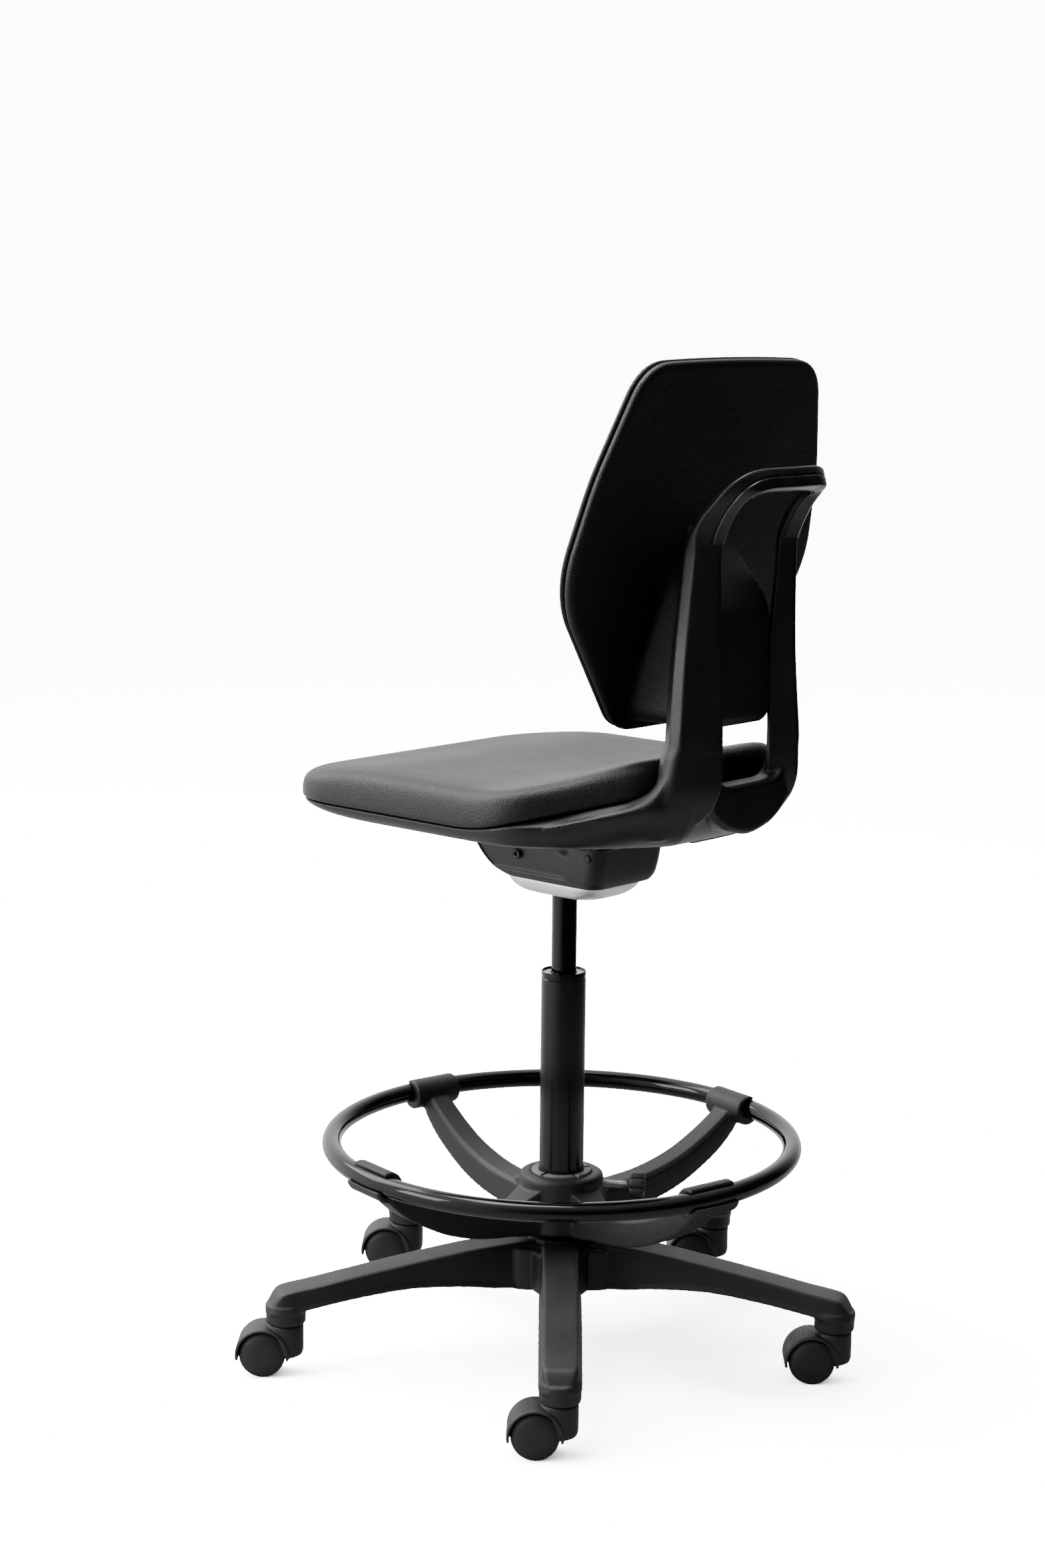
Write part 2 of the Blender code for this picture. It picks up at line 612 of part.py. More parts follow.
def build_mechanism(parent):
    carrier = box("carrier", CARRIER_LOW, CARRIER_HIGH)
    add_part(carrier, "satin_black_steel", parent)
    wall = Vector((CARRIER_WALL, CARRIER_WALL, CARRIER_WALL))
    pocket_high = Vector(CARRIER_HIGH) - wall
    pocket_high.z = HOUSING_TOP + 0.03
    cut(carrier, box("carrier_pocket", Vector(CARRIER_LOW) + wall, pocket_high))
    join(carrier, cylinder("carrier_cone", CONE_RADIUS, CONE_LOW, CONE_HIGH, steps=20))
    cut(carrier, cylinder("cone_bore", COLUMN_RADIUS + GAP, 0.50, 0.60))
    cut(carrier, cylinder("pivot_room", PIVOT_BORE, -0.06, 0.06, "X", (0, PIVOT_Y, PIVOT_Z), 12))
    cut(carrier, box("lever_room", (-0.06, -0.006, LEVER_Z - 0.006), (-0.03, 0.006, LEVER_Z + 0.012)))

    plate = loft("lower_plate", [
        ring_box(half, front, rear, z, corner) for z, half, front, rear, corner in PLATE_STATIONS
    ], strips=True)
    add_part(plate, "light_metal", parent)
    _, half, front, rear, corner = PLATE_STATIONS[-1]
    wall = 0.006
    cut(plate, loft("plate_hollow", [
        ring_box(half - wall, front + wall, rear - wall, z, corner)
        for z in (PLATE_BOTTOM + 0.014, HOUSING_BOTTOM + 0.02)
    ], strips=True))
    cut(plate, cylinder("column_room", COLUMN_RADIUS + 2 * GAP, 0.5, 0.6))

    def wall_rings(inset, grow):
        rings = []
        for (z, half, front, rear), rise in zip(HOUSING_STATIONS, (-grow, 0, grow)):
            rings.append(ring_box(half - inset, front + inset, rear - inset, z + rise))
        return rings
    housing = loft("mechanism_housing", wall_rings(0.0, 0.0), strips=True)
    add_part(housing, "polyamide", parent)
    cut(housing, loft("housing_hollow", wall_rings(HOUSING_WALL, 0.001), strips=True))
    screw_shank = 0.0025
    for side, label in ((1, "left"), (-1, "right")):
        near, far = sorted((side * 0.05, side * 0.07))
        cut(housing, cylinder(f"screw_hole_{label}", screw_shank + GAP, near, far, "X",
                              (0, PIVOT_Y, PIVOT_Z), 12))
    cut(housing, cylinder("lock_shaft_room", LEVER_RADIUS + GAP, -0.07, 0.07, "X", (0, LOCK_Y, LOCK_Z), 12))
    cut(housing, box("lever_slot", (-0.07, -0.007, LEVER_Z - 0.007), (-0.05, 0.007, LEVER_Z + 0.013)))

    axle = cylinder("pivot_axle", PIVOT_RADIUS, -PIVOT_HALF, PIVOT_HALF, "X", steps=16)
    add_part(axle, "zinc_steel", parent, (0, PIVOT_Y, PIVOT_Z))
    head_inner, head_outer = HOUSING_HALF + GAP, HOUSING_HALF + 0.0032
    for side, label in ((1, "left"), (-1, "right")):
        screw = turned(f"cover_screw_{label}", (
            (0.0, head_outer), (0.0055, head_outer), (0.0055, head_inner), (screw_shank, head_inner),
            (screw_shank, PIVOT_HALF + 0.0004), (0.0, PIVOT_HALF + 0.0004)), 16)
        add_part(screw, "satin_black_steel", parent, (0, PIVOT_Y, PIVOT_Z), (0, side * math.pi / 2, 0))

    add_spring("tilt_spring", parent)

    lever_hub = new_empty("height_lever_pivot", (LEVER_PIVOT_X, 0, LEVER_Z), parent)
    rod = cylinder("height_lever", LEVER_RADIUS, LEVER_REACH - LEVER_PIVOT_X, LEVER_INNER - LEVER_PIVOT_X,
                   "X", steps=12)
    add_part(rod, "zinc_steel", lever_hub)
    add_paddle("height_paddle", lever_hub, LEVER_REACH - LEVER_PIVOT_X + PADDLE_COVER)

    lock_hub = new_empty("tilt_lock_pivot", (0, LOCK_Y, LOCK_Z), parent)
    shaft = cylinder("tilt_lock_shaft", LEVER_RADIUS, LOCK_REACH, LOCK_INNER, "X", steps=12)
    add_part(shaft, "satin_black_steel", lock_hub)
    add_paddle("tilt_lock_paddle", lock_hub, LOCK_REACH + PADDLE_COVER)


def add_spring(name, parent):
    """An open coil of round wire."""
    steps = SPRING_TURNS * 10
    curve = bpy.data.curves.new(name, "CURVE")
    curve.dimensions = "3D"
    curve.bevel_depth = SPRING_WIRE
    curve.bevel_resolution = 1
    curve.use_fill_caps = True
    spline = curve.splines.new("POLY")
    spline.points.add(steps)
    for k, point in enumerate(spline.points):
        angle = 2 * math.pi * SPRING_TURNS * k / steps
        rise = SPRING_WIRE + (SPRING_HEIGHT - 2 * SPRING_WIRE) * k / steps
        point.co = (SPRING_RADIUS * math.cos(angle), SPRING_RADIUS * math.sin(angle), rise, 1)
    coil = bpy.data.objects.new(name, curve)
    PARTS.objects.link(coil)
    curve.materials.append(principled(name, "satin_black_steel"))
    coil.parent = parent
    coil.location = SPRING_FOOT
    return coil


def add_paddle(name, parent, root_x):
    """A flat finger paddle on the outer end of a lever rod that runs to -X."""
    rings = []
    for x, half_y, half_z in PADDLE_STATIONS:
        ring_points = []
        for k in range(12):
            angle = 2 * math.pi * k / 12
            ring_points.append((root_x + x, half_y * math.cos(angle), half_z * math.sin(angle)))
        rings.append(ring_points)
    paddle = loft(name, rings)
    add_part(paddle, "polyamide", parent)
    cut(paddle, cylinder(f"rod_room_{name}", LEVER_RADIUS + GAP, root_x - PADDLE_COVER - 0.0005,
                         root_x + 0.01, "X", steps=12))


# ---- seat ----
def seam_height(y):
    return SEAM_FRONT + SEAM_SLOPE * max(0.0, y - SEAM_KNEE)


def shell_bottom_height(y):
    return SHELL_BOTTOM + NOSE_SLOPE * max(0.0, NOSE_KNEE - y)


def loop_axes():
    """For each station of the whole bracket loop: centre, broad direction, facing, sizes."""
    half = list(LOOP_STATIONS)
    mirrored = [(-x, *rest) for x, *rest in reversed(half[1:-1])]
    stations = half + mirrored
    count = len(stations)
    axes = []
    for i, (x, y, z, facing, width, thickness) in enumerate(stations):
        before, after = stations[i - 1], stations[(i + 1) % count]
        run = Vector((after[0] - before[0], 0, after[2] - before[2])).normalized()
        outward = Vector((run.z, 0, -run.x))
        rear = Vector((0, 1, 0))
        turn = math.radians(facing)
        face = rear * math.cos(turn) + outward * math.sin(turn)
        broad = outward * math.cos(turn) - rear * math.sin(turn)
        axes.append((Vector((x, y, z)), broad, face, width, thickness))
    return axes


def band(centre, broad, face, width, thickness, bevel):
    """A bevelled rectangle across the loop."""
    w, t = width / 2, thickness / 2
    corners = (
        (w, -t + bevel), (w, t - bevel), (w - bevel, t), (-w + bevel, t),
        (-w, t - bevel), (-w, -t + bevel), (-w + bevel, -t), (w - bevel, -t))
    return [centre + broad * a + face * b for a, b in corners]


def grip_rings(margin):
    """The hand grip's rings inside the loop, grown by margin on every side."""
    last = len(LOOP_STATIONS) * 2 - 2 - GRIP_FIRST
    rings = []
    for centre, broad, face, width, _ in loop_axes()[GRIP_FIRST:last + 1]:
        inner = centre - broad * (width / 2 + GRIP_THICKNESS / 2 - GRIP_INLAY)
        rings.append(band(inner, broad, face, GRIP_THICKNESS + 2 * margin, GRIP_WIDTH + 2 * margin, 0.001))
    for ring in (rings[0], rings[-1]):
        for point in ring:
            point.z -= margin
    return rings


def build_bracket(parent):
    def shell_ring(inset, share):
        ring = []
        for x, y in outline(SHELL_CORNERS, inset):
            low, high = shell_bottom_height(y), seam_height(y) - 2 * GAP
            ring.append((x, y, low + share * (high - low)))
        return ring
    shell = loft("back_bracket", [shell_ring(*ring) for ring in SHELL_RINGS], strips=True)
    add_part(shell, "polyamide", parent)
    loop = loft("bracket_loop", [band(*axes, LOOP_EDGE) for axes in loop_axes()], closed_path=True)
    join(shell, loop)
    cut(shell, loft("grip_room", grip_rings(GRIP_ROOM)))
    cut(shell, box("shell_hollow", (-0.055, -0.180, SHELL_FLOOR), (0.055, 0.120, 0.70)))
    cut(shell, box("rear_hollow", (-0.080, 0.165, 0.58), (0.080, 0.212, 0.640)))
    for x, y in SEAT_SCREWS:
        cut(shell, cylinder(f"floor_hole_{x}_{y}", SEAT_SCREW_RADIUS + GAP, 0.58, SEAT_SCREW_TOP + 0.0005,
                            centre=(x, y, 0), steps=12))
    return shell


def build_seat(parent):
    """Everything that tilts, in the axes of the tilt pivot's empty."""
    lift = (0, -PIVOT_Y, -PIVOT_Z)
    holder = new_empty("seat_axes", lift, parent)
    build_bracket(holder)

    def cushion_ring(inset, rise):
        return [(x, y, seam_height(y) + rise) for x, y in outline(SEAT_CORNERS, inset)]
    cushion = loft("seat_cushion", [
        cushion_ring(0.006, GAP), cushion_ring(0.0, 0.008), cushion_ring(0.001, 0.022),
        cushion_ring(0.010, 0.034), cushion_ring(0.030, CUSHION_HEIGHT),
    ], strips=True)
    add_part(cushion, "seat_foam", holder)

    frame = box("tilt_frame", (-FRAME_HALF, FRAME_FRONT, FRAME_BOTTOM), (FRAME_HALF, FRAME_REAR, FRAME_TOP))
    add_part(frame, "satin_black_steel", holder)
    for side, label in ((1, "left"), (-1, "right")):
        near, far = sorted((side * EAR_NEAR, side * EAR_FAR))
        join(frame, box(f"ear_{label}", (near, PIVOT_Y - 0.010, PIVOT_Z - 0.009),
                        (far, PIVOT_Y + 0.010, FRAME_BOTTOM + 0.002)))
    cut(frame, cylinder("frame_pivot_room", PIVOT_BORE, -0.06, 0.06, "X", (0, PIVOT_Y, PIVOT_Z), 12))
    for number, (x, y) in enumerate(SEAT_SCREWS, 1):
        cut(frame, cylinder(f"frame_hole_{number}", SEAT_SCREW_RADIUS + GAP, 0.58, 0.63,
                            centre=(x, y, 0), steps=12))
        screw = turned(f"seat_screw_{number}", (
            (0.0, SEAT_SCREW_TOP), (SEAT_SCREW_RADIUS, SEAT_SCREW_TOP),
            (SEAT_SCREW_RADIUS, FRAME_BOTTOM - GAP), (SEAT_SCREW_HEAD, FRAME_BOTTOM - GAP),
            (SEAT_SCREW_HEAD, FRAME_BOTTOM - 0.0035), (0.0, FRAME_BOTTOM - 0.0035)), 12)
        add_part(screw, "zinc_steel", holder, (x, y, 0))

    grip = loft("handle_grip", grip_rings(0.0))
    add_part(grip, "grip_rubber", holder)
    build_backrest(holder)


def build_backrest(parent):
    foot = Vector((0, BACK_FOOT_Y, BACK_FOOT_Z))
    up = Vector((0, math.sin(BACK_LEAN), math.cos(BACK_LEAN)))
    rearward = Vector((0, math.cos(BACK_LEAN), -math.sin(BACK_LEAN)))

    def back_ring(inset, depth):
        base = foot + rearward * depth
        return [base + up * v + Vector((u, 0, 0)) for u, v in outline(BACK_CORNERS, inset)]

    def plane_y(z):
        return BACK_FOOT_Y + (z - BACK_FOOT_Z) * math.tan(BACK_LEAN)
    shell = loft("back_shell", [back_ring(*ring) for ring in SHELL_EDGE])
    add_part(shell, "polyamide", parent)
    rings = []
    for x, share in ((-BULGE_FOOT, 0.02), (-BULGE_HALF, 1.0), (BULGE_HALF, 1.0), (BULGE_FOOT, 0.02)):
        ring_points = []
        for y, z in BULGE_SIDE:
            near = plane_y(z) - BULGE_SINK
            ring_points.append((x, near + max(y - near, 0.0005) * share, z))
        rings.append(ring_points)
    join(shell, loft("bulge", rings))

    pad = loft("back_cushion", [back_ring(*ring) for ring in CUSHION_EDGE])
    add_part(pad, "seat_foam", parent)

    slider = loft("back_slider", [
        [(SLIDER_FRONT_HALF, SLIDER_FRONT, z), (SLIDER_REAR_HALF, SLIDER_REAR, z),
         (-SLIDER_REAR_HALF, SLIDER_REAR, z), (-SLIDER_FRONT_HALF, SLIDER_FRONT, z)]
        for z in (SLIDER_BOTTOM, SLIDER_TOP)])
    add_part(slider, "polyamide", parent)


# ---- assembly ----
def build_chair():
    root = new_empty("chair", (COLUMN_X, COLUMN_Y, 0))
    build_base(root)
    for number in range(1, LEG_COUNT + 1):
        build_castor(root, number)
    build_gas_lift(root)
    build_foot_ring(root)
    build_mechanism(root)
    tilt = new_empty("seat_tilt", (0, PIVOT_Y, PIVOT_Z), root)
    build_seat(tilt)


build_chair()
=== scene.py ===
"""Looks of the drafting chair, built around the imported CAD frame.

Metres, +Z up. Shapes are made in chair axes: X = Y = 0 on the lift column's axis, the sitter
faces -Y and +X is the sitter's left.
"""
import json
import math

import bmesh
import bpy
from mathutils import Matrix, Vector


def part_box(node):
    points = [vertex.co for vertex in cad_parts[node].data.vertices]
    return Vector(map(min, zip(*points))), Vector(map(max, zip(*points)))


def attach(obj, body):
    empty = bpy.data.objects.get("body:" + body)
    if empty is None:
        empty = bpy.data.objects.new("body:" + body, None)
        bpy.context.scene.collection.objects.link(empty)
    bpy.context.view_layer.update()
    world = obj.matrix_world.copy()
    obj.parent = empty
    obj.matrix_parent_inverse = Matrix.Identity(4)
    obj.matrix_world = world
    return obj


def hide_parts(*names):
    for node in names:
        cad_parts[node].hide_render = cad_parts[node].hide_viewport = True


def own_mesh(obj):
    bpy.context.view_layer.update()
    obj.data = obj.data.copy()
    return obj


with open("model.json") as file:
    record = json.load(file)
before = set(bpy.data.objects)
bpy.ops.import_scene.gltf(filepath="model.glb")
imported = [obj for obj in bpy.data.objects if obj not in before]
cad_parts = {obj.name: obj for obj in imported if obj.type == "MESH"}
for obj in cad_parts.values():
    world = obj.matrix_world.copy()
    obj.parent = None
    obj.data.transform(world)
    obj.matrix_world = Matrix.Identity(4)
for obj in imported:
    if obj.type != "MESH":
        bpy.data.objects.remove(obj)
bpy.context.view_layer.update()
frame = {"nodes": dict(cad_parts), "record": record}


def middle(node):
    low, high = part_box(node)
    return (low + high) / 2


COLUMN = middle("outer_tube")
AXIS = Vector((COLUMN.x, COLUMN.y, 0))
SMOOTH_ANGLE = math.radians(35)


def chair_box(node):
    """A CAD node's box in chair axes."""
    low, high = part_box(node)
    return low - AXIS, high - AXIS


# ---- small geometry tools ----
def spline(points, steps, closed=False):
    """Catmull-Rom through tuples of numbers, with steps samples in each stretch."""
    count = len(points)
    stretches = count if closed else count - 1
    out = []
    for i in range(stretches):
        if closed:
            quad = [points[(i + k - 1) % count] for k in range(4)]
        else:
            quad = [points[min(max(i + k - 1, 0), count - 1)] for k in range(4)]
        for s in range(steps):
            t = s / steps
            weights = (
                -0.5 * t + t * t - 0.5 * t ** 3, 1 - 2.5 * t * t + 1.5 * t ** 3,
                0.5 * t + 2 * t * t - 1.5 * t ** 3, -0.5 * t * t + 0.5 * t ** 3)
            out.append(tuple(sum(w * p[k] for w, p in zip(weights, quad)) for k in range(len(points[0]))))
    if not closed:
        out.append(tuple(points[-1]))
    return out


def smoothstep(low, high, value):
    t = min(max((value - low) / (high - low), 0.0), 1.0)
    return t * t * (3 - 2 * t)


def offset_corners(corners, inset):
    """Move every side of a closed outline of (x, y, radius) inward by inset."""
    moved = []
    count = len(corners)
    for i, (x, y, radius) in enumerate(corners):
        here = Vector((x, y))
        before = (here - Vector(corners[i - 1][:2])).normalized()
        after = (Vector(corners[(i + 1) % count][:2]) - here).normalized()
        left_a, left_b = Vector((-before.y, before.x)), Vector((-after.y, after.x))
        shift = (left_a + left_b) / (1 + left_a.dot(left_b)) * inset
        moved.append((x + shift.x, y + shift.y, max(radius - 0.6 * inset, 0.006)))
    return moved


def outline(half_corners, inset=0.0, points=160):
    """A closed outline mirrored about X = 0, with round corners and evenly spaced points."""
    corners = list(half_corners) + [(-x, y, r) for x, y, r in reversed(half_corners)]
    corners = offset_corners(corners, inset)
    count = len(corners)
    raw = []
    for i, (x, y, radius) in enumerate(corners):
        here = Vector((x, y))
        before = (here - Vector(corners[i - 1][:2])).normalized()
        after = (Vector(corners[(i + 1) % count][:2]) - here).normalized()
        bend = before.angle(after)
        if bend < 0.001:
            raw.append(here)
            continue
        start = here - before * radius * math.tan(bend / 2)
        end = here + after * radius * math.tan(bend / 2)
        for k in range(13):
            t = k / 12
            raw.append(start.lerp(here, t).lerp(here.lerp(end, t), t))
    lengths = [0.0]
    for a, b in zip(raw, raw[1:] + raw[:1]):
        lengths.append(lengths[-1] + (b - a).length)
    out = []
    k = 0
    for n in range(points):
        target = lengths[-1] * n / points
        while lengths[k + 1] < target:
            k += 1
        share = (target - lengths[k]) / max(lengths[k + 1] - lengths[k], 1e-9)
        out.append(raw[k].lerp(raw[(k + 1) % len(raw)], share))
    return out


def loft(rings, closed_path=False, caps=True):
    """A mesh through rings of equal length."""
    verts = [tuple(p) for ring in rings for p in ring]
    count, rows = len(rings[0]), len(rings)
    faces = []
    for r in range(rows if closed_path else rows - 1):
        a, b = r * count, ((r + 1) % rows) * count
        for i in range(count):
            j = (i + 1) % count
            faces.append((a + i, a + j, b + j, b + i))
    if caps and not closed_path:
        faces.append(tuple(range(count)))
        faces.append(tuple(range((rows - 1) * count, rows * count)))
    return verts, faces


def domed(rings, tip):
    """A mesh through rings, closed by one face at the first and by a fan to a point at the last."""
    verts, faces = loft(rings, caps=False)
    count = len(rings[0])
    faces.append(tuple(range(count)))
    last, end = len(verts) - count, len(verts)
    verts.append(tuple(tip))
    faces += [(last + i, last + (i + 1) % count, end) for i in range(count)]
    return verts, faces


def box_ring(z, half, front, rear, corner, points):
    """A level ring with round corners, mirrored about X = 0."""
    return [(p.x, p.y, z) for p in outline(((half, front, corner), (half, rear, corner)), 0.0, points)]


def polar(x, radius_at, steps):
    """A ring round the X axis, at x; radius_at gives its radius at step k and angle."""
    ring = []
    for k in range(steps):
        angle = 2 * math.pi * k / steps
        radius = radius_at(k, angle)
        ring.append((x, radius * math.cos(angle), radius * math.sin(angle)))
    return ring


def circle(radius, steps):
    """Points round a circle as (a, b) pairs."""
    angles = (2 * math.pi * k / steps for k in range(steps))
    return [(radius * math.cos(t), radius * math.sin(t)) for t in angles]


def hoop(reach, height, tube, steps, around):
    """A tube bent round the Z axis; tube gives its radius at an angle."""
    rings = []
    for k in range(steps):
        angle = 2 * math.pi * k / steps
        rings.append([((reach + a) * math.cos(angle), (reach + a) * math.sin(angle), height + b)
                      for a, b in circle(tube(angle), around)])
    return loft(rings, closed_path=True)


def rod(radius, start, end, steps=24):
    """A closed cylinder along Z, for cutting holes."""
    return turned(((0.0, start), (radius, start), (radius, end), (0.0, end)), steps)


def turned(profile, steps=48, closed=False):
    """A mesh of revolution about Z from (radius, height) pairs. A radius of 0 closes an end."""
    verts, faces, rows = [], [], []
    for radius, height in profile:
        if radius < 1e-7:
            rows.append([len(verts)] * steps)
            verts.append((0.0, 0.0, height))
            continue
        rows.append(list(range(len(verts), len(verts) + steps)))
        for k in range(steps):
            angle = 2 * math.pi * k / steps
            verts.append((radius * math.cos(angle), radius * math.sin(angle), height))
    pairs = list(zip(rows, rows[1:]))
    if closed:
        pairs.append((rows[-1], rows[0]))
    for low, high in pairs:
        for k in range(steps):
            j = (k + 1) % steps
            face = tuple(dict.fromkeys((low[k], low[j], high[j], high[k])))
            if len(face) > 2:
                faces.append(face)
    return verts, faces


def rounded(half_a, half_b, radius, steps=4):
    """A rounded rectangle as (a, b) pairs."""
    radius = min(radius, half_a * 0.98, half_b * 0.98)
    out = []
    for quarter, (sa, sb) in enumerate(((1, 1), (-1, 1), (-1, -1), (1, -1))):
        for k in range(steps + 1):
            angle = (quarter + k / steps) * math.pi / 2
            out.append((sa * (half_a - radius) + radius * math.cos(angle),
                        sb * (half_b - radius) + radius * math.sin(angle)))
    return out


def merged(*parts):
    """Several (verts, faces) as one."""
    verts, faces = [], []
    for part_verts, part_faces in parts:
        base = len(verts)
        verts += [tuple(v) for v in part_verts]
        faces += [tuple(base + i for i in face) for face in part_faces]
    return verts, faces


def moved(part, matrix):
    verts, faces = part
    return [tuple(matrix @ Vector(v)) for v in verts], faces


def turn_z(degrees):
    return Matrix.Rotation(math.radians(degrees), 4, "Z")


def mesh_of(name, part):
    verts, faces = part
    mesh = bpy.data.meshes.new(name)
    mesh.from_pydata(verts, [], faces)
    bm = bmesh.new()
    bm.from_mesh(mesh)
    bmesh.ops.remove_doubles(bm, verts=bm.verts, dist=1e-6)
    bmesh.ops.recalc_face_normals(bm, faces=bm.faces)
    bm.to_mesh(mesh)
    bm.free()
    return mesh


def piece(name, part, material, body, stands_for=(), place=None, angle=SMOOTH_ANGLE):
    """A finished visible piece on a CAD body, made in chair axes unless place says otherwise."""
    obj = bpy.data.objects.new(name, mesh_of(name, part))
    bpy.context.scene.collection.objects.link(obj)
    obj.matrix_world = Matrix.Translation(AXIS) @ (place or Matrix())
    obj.data.materials.append(material)
    obj.data.shade_smooth()
    if angle:
        obj.data.set_sharp_from_angle(angle=angle)
    if stands_for:
        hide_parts(*stands_for)
    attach(obj, body)
    return obj


def modify(obj, kind, **settings):
    modifier = obj.modifiers.new(kind.lower(), kind)
    for key, value in settings.items():
        setattr(modifier, key, value)
    return modifier


def apply_all(obj):
    """Turn the modifiers' result into the mesh itself."""
    bpy.context.view_layer.update()
    evaluated = obj.evaluated_get(bpy.context.evaluated_depsgraph_get())
    mesh = bpy.data.meshes.new_from_object(evaluated)
    obj.modifiers.clear()
    obj.data = mesh
    obj.data.shade_smooth()


def fuse(body, voxel, passes, ratio):
    """Melt a piece's overlapping parts into one skin with small fillets, then thin its mesh."""
    modify(body, "REMESH", mode="VOXEL", voxel_size=voxel, use_smooth_shade=True)
    modify(body, "SMOOTH", factor=0.5, iterations=passes)
    modify(body, "DECIMATE", ratio=ratio)
    apply_all(body)


def carve(body, part):
    """Cut a closed shape, in chair axes, out of a finished piece."""
    tool = bpy.data.objects.new("tool", mesh_of("tool", part))
    bpy.context.scene.collection.objects.link(tool)
    tool.matrix_world = Matrix.Translation(AXIS)
    modify(body, "BOOLEAN", operation="DIFFERENCE", solver="EXACT", object=tool)
    apply_all(body)
    bpy.data.objects.remove(tool, do_unlink=True)


# ---- materials ----
class Nodes:
    """One material's node tree, with short calls for what these materials share."""

    def __init__(self, name, color, roughness, metallic=0.0):
        self.material = bpy.data.materials.new(name)
        self.material.use_nodes = True
        self.tree = self.material.node_tree
        self.shader = self.tree.nodes["Principled BSDF"]
        self.shader.inputs["Base Color"].default_value = (*color, 1)
        self.shader.inputs["Roughness"].default_value = roughness
        self.shader.inputs["Metallic"].default_value = metallic
        self.coord = self.tree.nodes.new("ShaderNodeTexCoord").outputs["Object"]
        self.height = None

    def node(self, kind, **inputs):
        node = self.tree.nodes.new(kind)
        for key, value in inputs.items():
            socket = node.inputs[key.replace("_", " ")]
            if isinstance(value, bpy.types.NodeSocket):
                self.tree.links.new(value, socket)
            else:
                socket.default_value = value
        return node

    def noise(self, scale, detail=3.0, stretch=None, rough=0.5):
        vector = self.coord
        if stretch:
            vector = self.node("ShaderNodeMapping", Vector=self.coord, Scale=stretch).outputs[0]
        return self.node("ShaderNodeTexNoise", Vector=vector, Scale=scale, Detail=detail,
                         Roughness=rough).outputs["Fac"]

    def cells(self, scale, feature="F1"):
        node = self.node("ShaderNodeTexVoronoi", Vector=self.coord, Scale=scale)
        node.feature = feature
        return node.outputs["Distance"]

    def between(self, value, low, high, to_low, to_high):
        node = self.node("ShaderNodeMapRange", Value=value)
        node.clamp = True
        for key, number in (("From Min", low), ("From Max", high), ("To Min", to_low), ("To Max", to_high)):
            node.inputs[key].default_value = number
        return node.outputs[0]

    def sum(self, a, b):
        node = self.tree.nodes.new("ShaderNodeMath")
        node.operation = "ADD"
        for socket, value in zip(node.inputs, (a, b)):
            self.tree.links.new(value, socket)
        return node.outputs[0]

    def mix(self, factor, dark, light):
        node = self.tree.nodes.new("ShaderNodeMix")
        node.data_type = "RGBA"
        self.tree.links.new(factor, node.inputs["Factor"])
        for socket, color in ((node.inputs[6], dark), (node.inputs[7], light)):
            if isinstance(color, bpy.types.NodeSocket):
                self.tree.links.new(color, socket)
            else:
                socket.default_value = (*color, 1)
        return node.outputs[2]

    def color(self, socket):
        self.tree.links.new(socket, self.shader.inputs["Base Color"])

    def roughness(self, socket):
        self.tree.links.new(socket, self.shader.inputs["Roughness"])

    def bump(self, height, strength, distance):
        node = self.node("ShaderNodeBump", Height=height, Strength=strength, Distance=distance)
        if self.height:
            self.tree.links.new(self.height, node.inputs["Normal"])
        self.height = node.outputs[0]
        self.tree.links.new(self.height, self.shader.inputs["Normal"])

    def edges(self, low, high):
        """0 on flats to 1 on worn convex edges."""
        point = self.tree.nodes.new("ShaderNodeNewGeometry").outputs["Pointiness"]
        return self.between(point, low, high, 0.0, 1.0)


def foam_skin(name, dark, light, roughness, gloss):
    """Integral-skin foam: a fine pebbled grain over soft, slow unevenness."""
    m = Nodes(name, dark, roughness)
    slow = m.noise(9.0, 4.0)
    fine = m.noise(620.0, 4.0)
    pores = m.between(m.noise(430.0, 3.0), 0.36, 0.66, 0.0, 1.0)
    surface = m.mix(m.between(slow, 0.35, 0.68, 0.0, 1.0), dark, light)
    m.color(m.mix(pores, tuple(c * 0.72 for c in dark), surface))
    m.roughness(m.between(m.sum(slow, fine), 0.7, 1.3, roughness - 0.06, roughness + 0.07))
    m.bump(m.cells(620.0), 0.45, 0.0008)
    m.bump(fine, 0.42, 0.0009)
    m.bump(m.noise(40.0, 2.0), 0.12, 0.004)
    m.shader.inputs["Specular IOR Level"].default_value = gloss
    return m.material


def moulded(name, dark, light, roughness, grain=1500.0, strength=0.22, edge=None):
    """Moulded plastic with a fine spark-eroded texture, a little paler on worn edges."""
    m = Nodes(name, dark, roughness)
    slow = m.noise(14.0, 3.0)
    base = m.mix(m.between(slow, 0.38, 0.66, 0.0, 1.0), dark, light)
    if edge:
        base = m.mix(m.edges(0.515, 0.60), base, edge)
    m.color(base)
    fine = m.noise(grain, 3.0)
    m.roughness(m.between(m.sum(slow, fine), 0.7, 1.3, roughness - 0.05, roughness + 0.07))
    m.bump(fine, strength, 0.0004)
    m.bump(m.noise(220.0, 2.0), 0.05, 0.0006)
    m.shader.inputs["Specular IOR Level"].default_value = 0.38
    return m.material


def lacquer(name, color, roughness, ripple=0.04):
    """Painted steel: smooth, with a slight orange peel."""
    m = Nodes(name, color, roughness)
    slow = m.noise(30.0, 3.0)
    pale = tuple(c * 1.5 + 0.0004 for c in color)
    m.color(m.mix(m.between(slow, 0.4, 0.7, 0.0, 1.0), color, pale))
    m.roughness(m.between(slow, 0.3, 0.7, roughness * 0.85, roughness * 1.25))
    m.bump(m.noise(260.0, 2.0), ripple, 0.0005)
    m.shader.inputs["Specular IOR Level"].default_value = 0.28
    return m.material


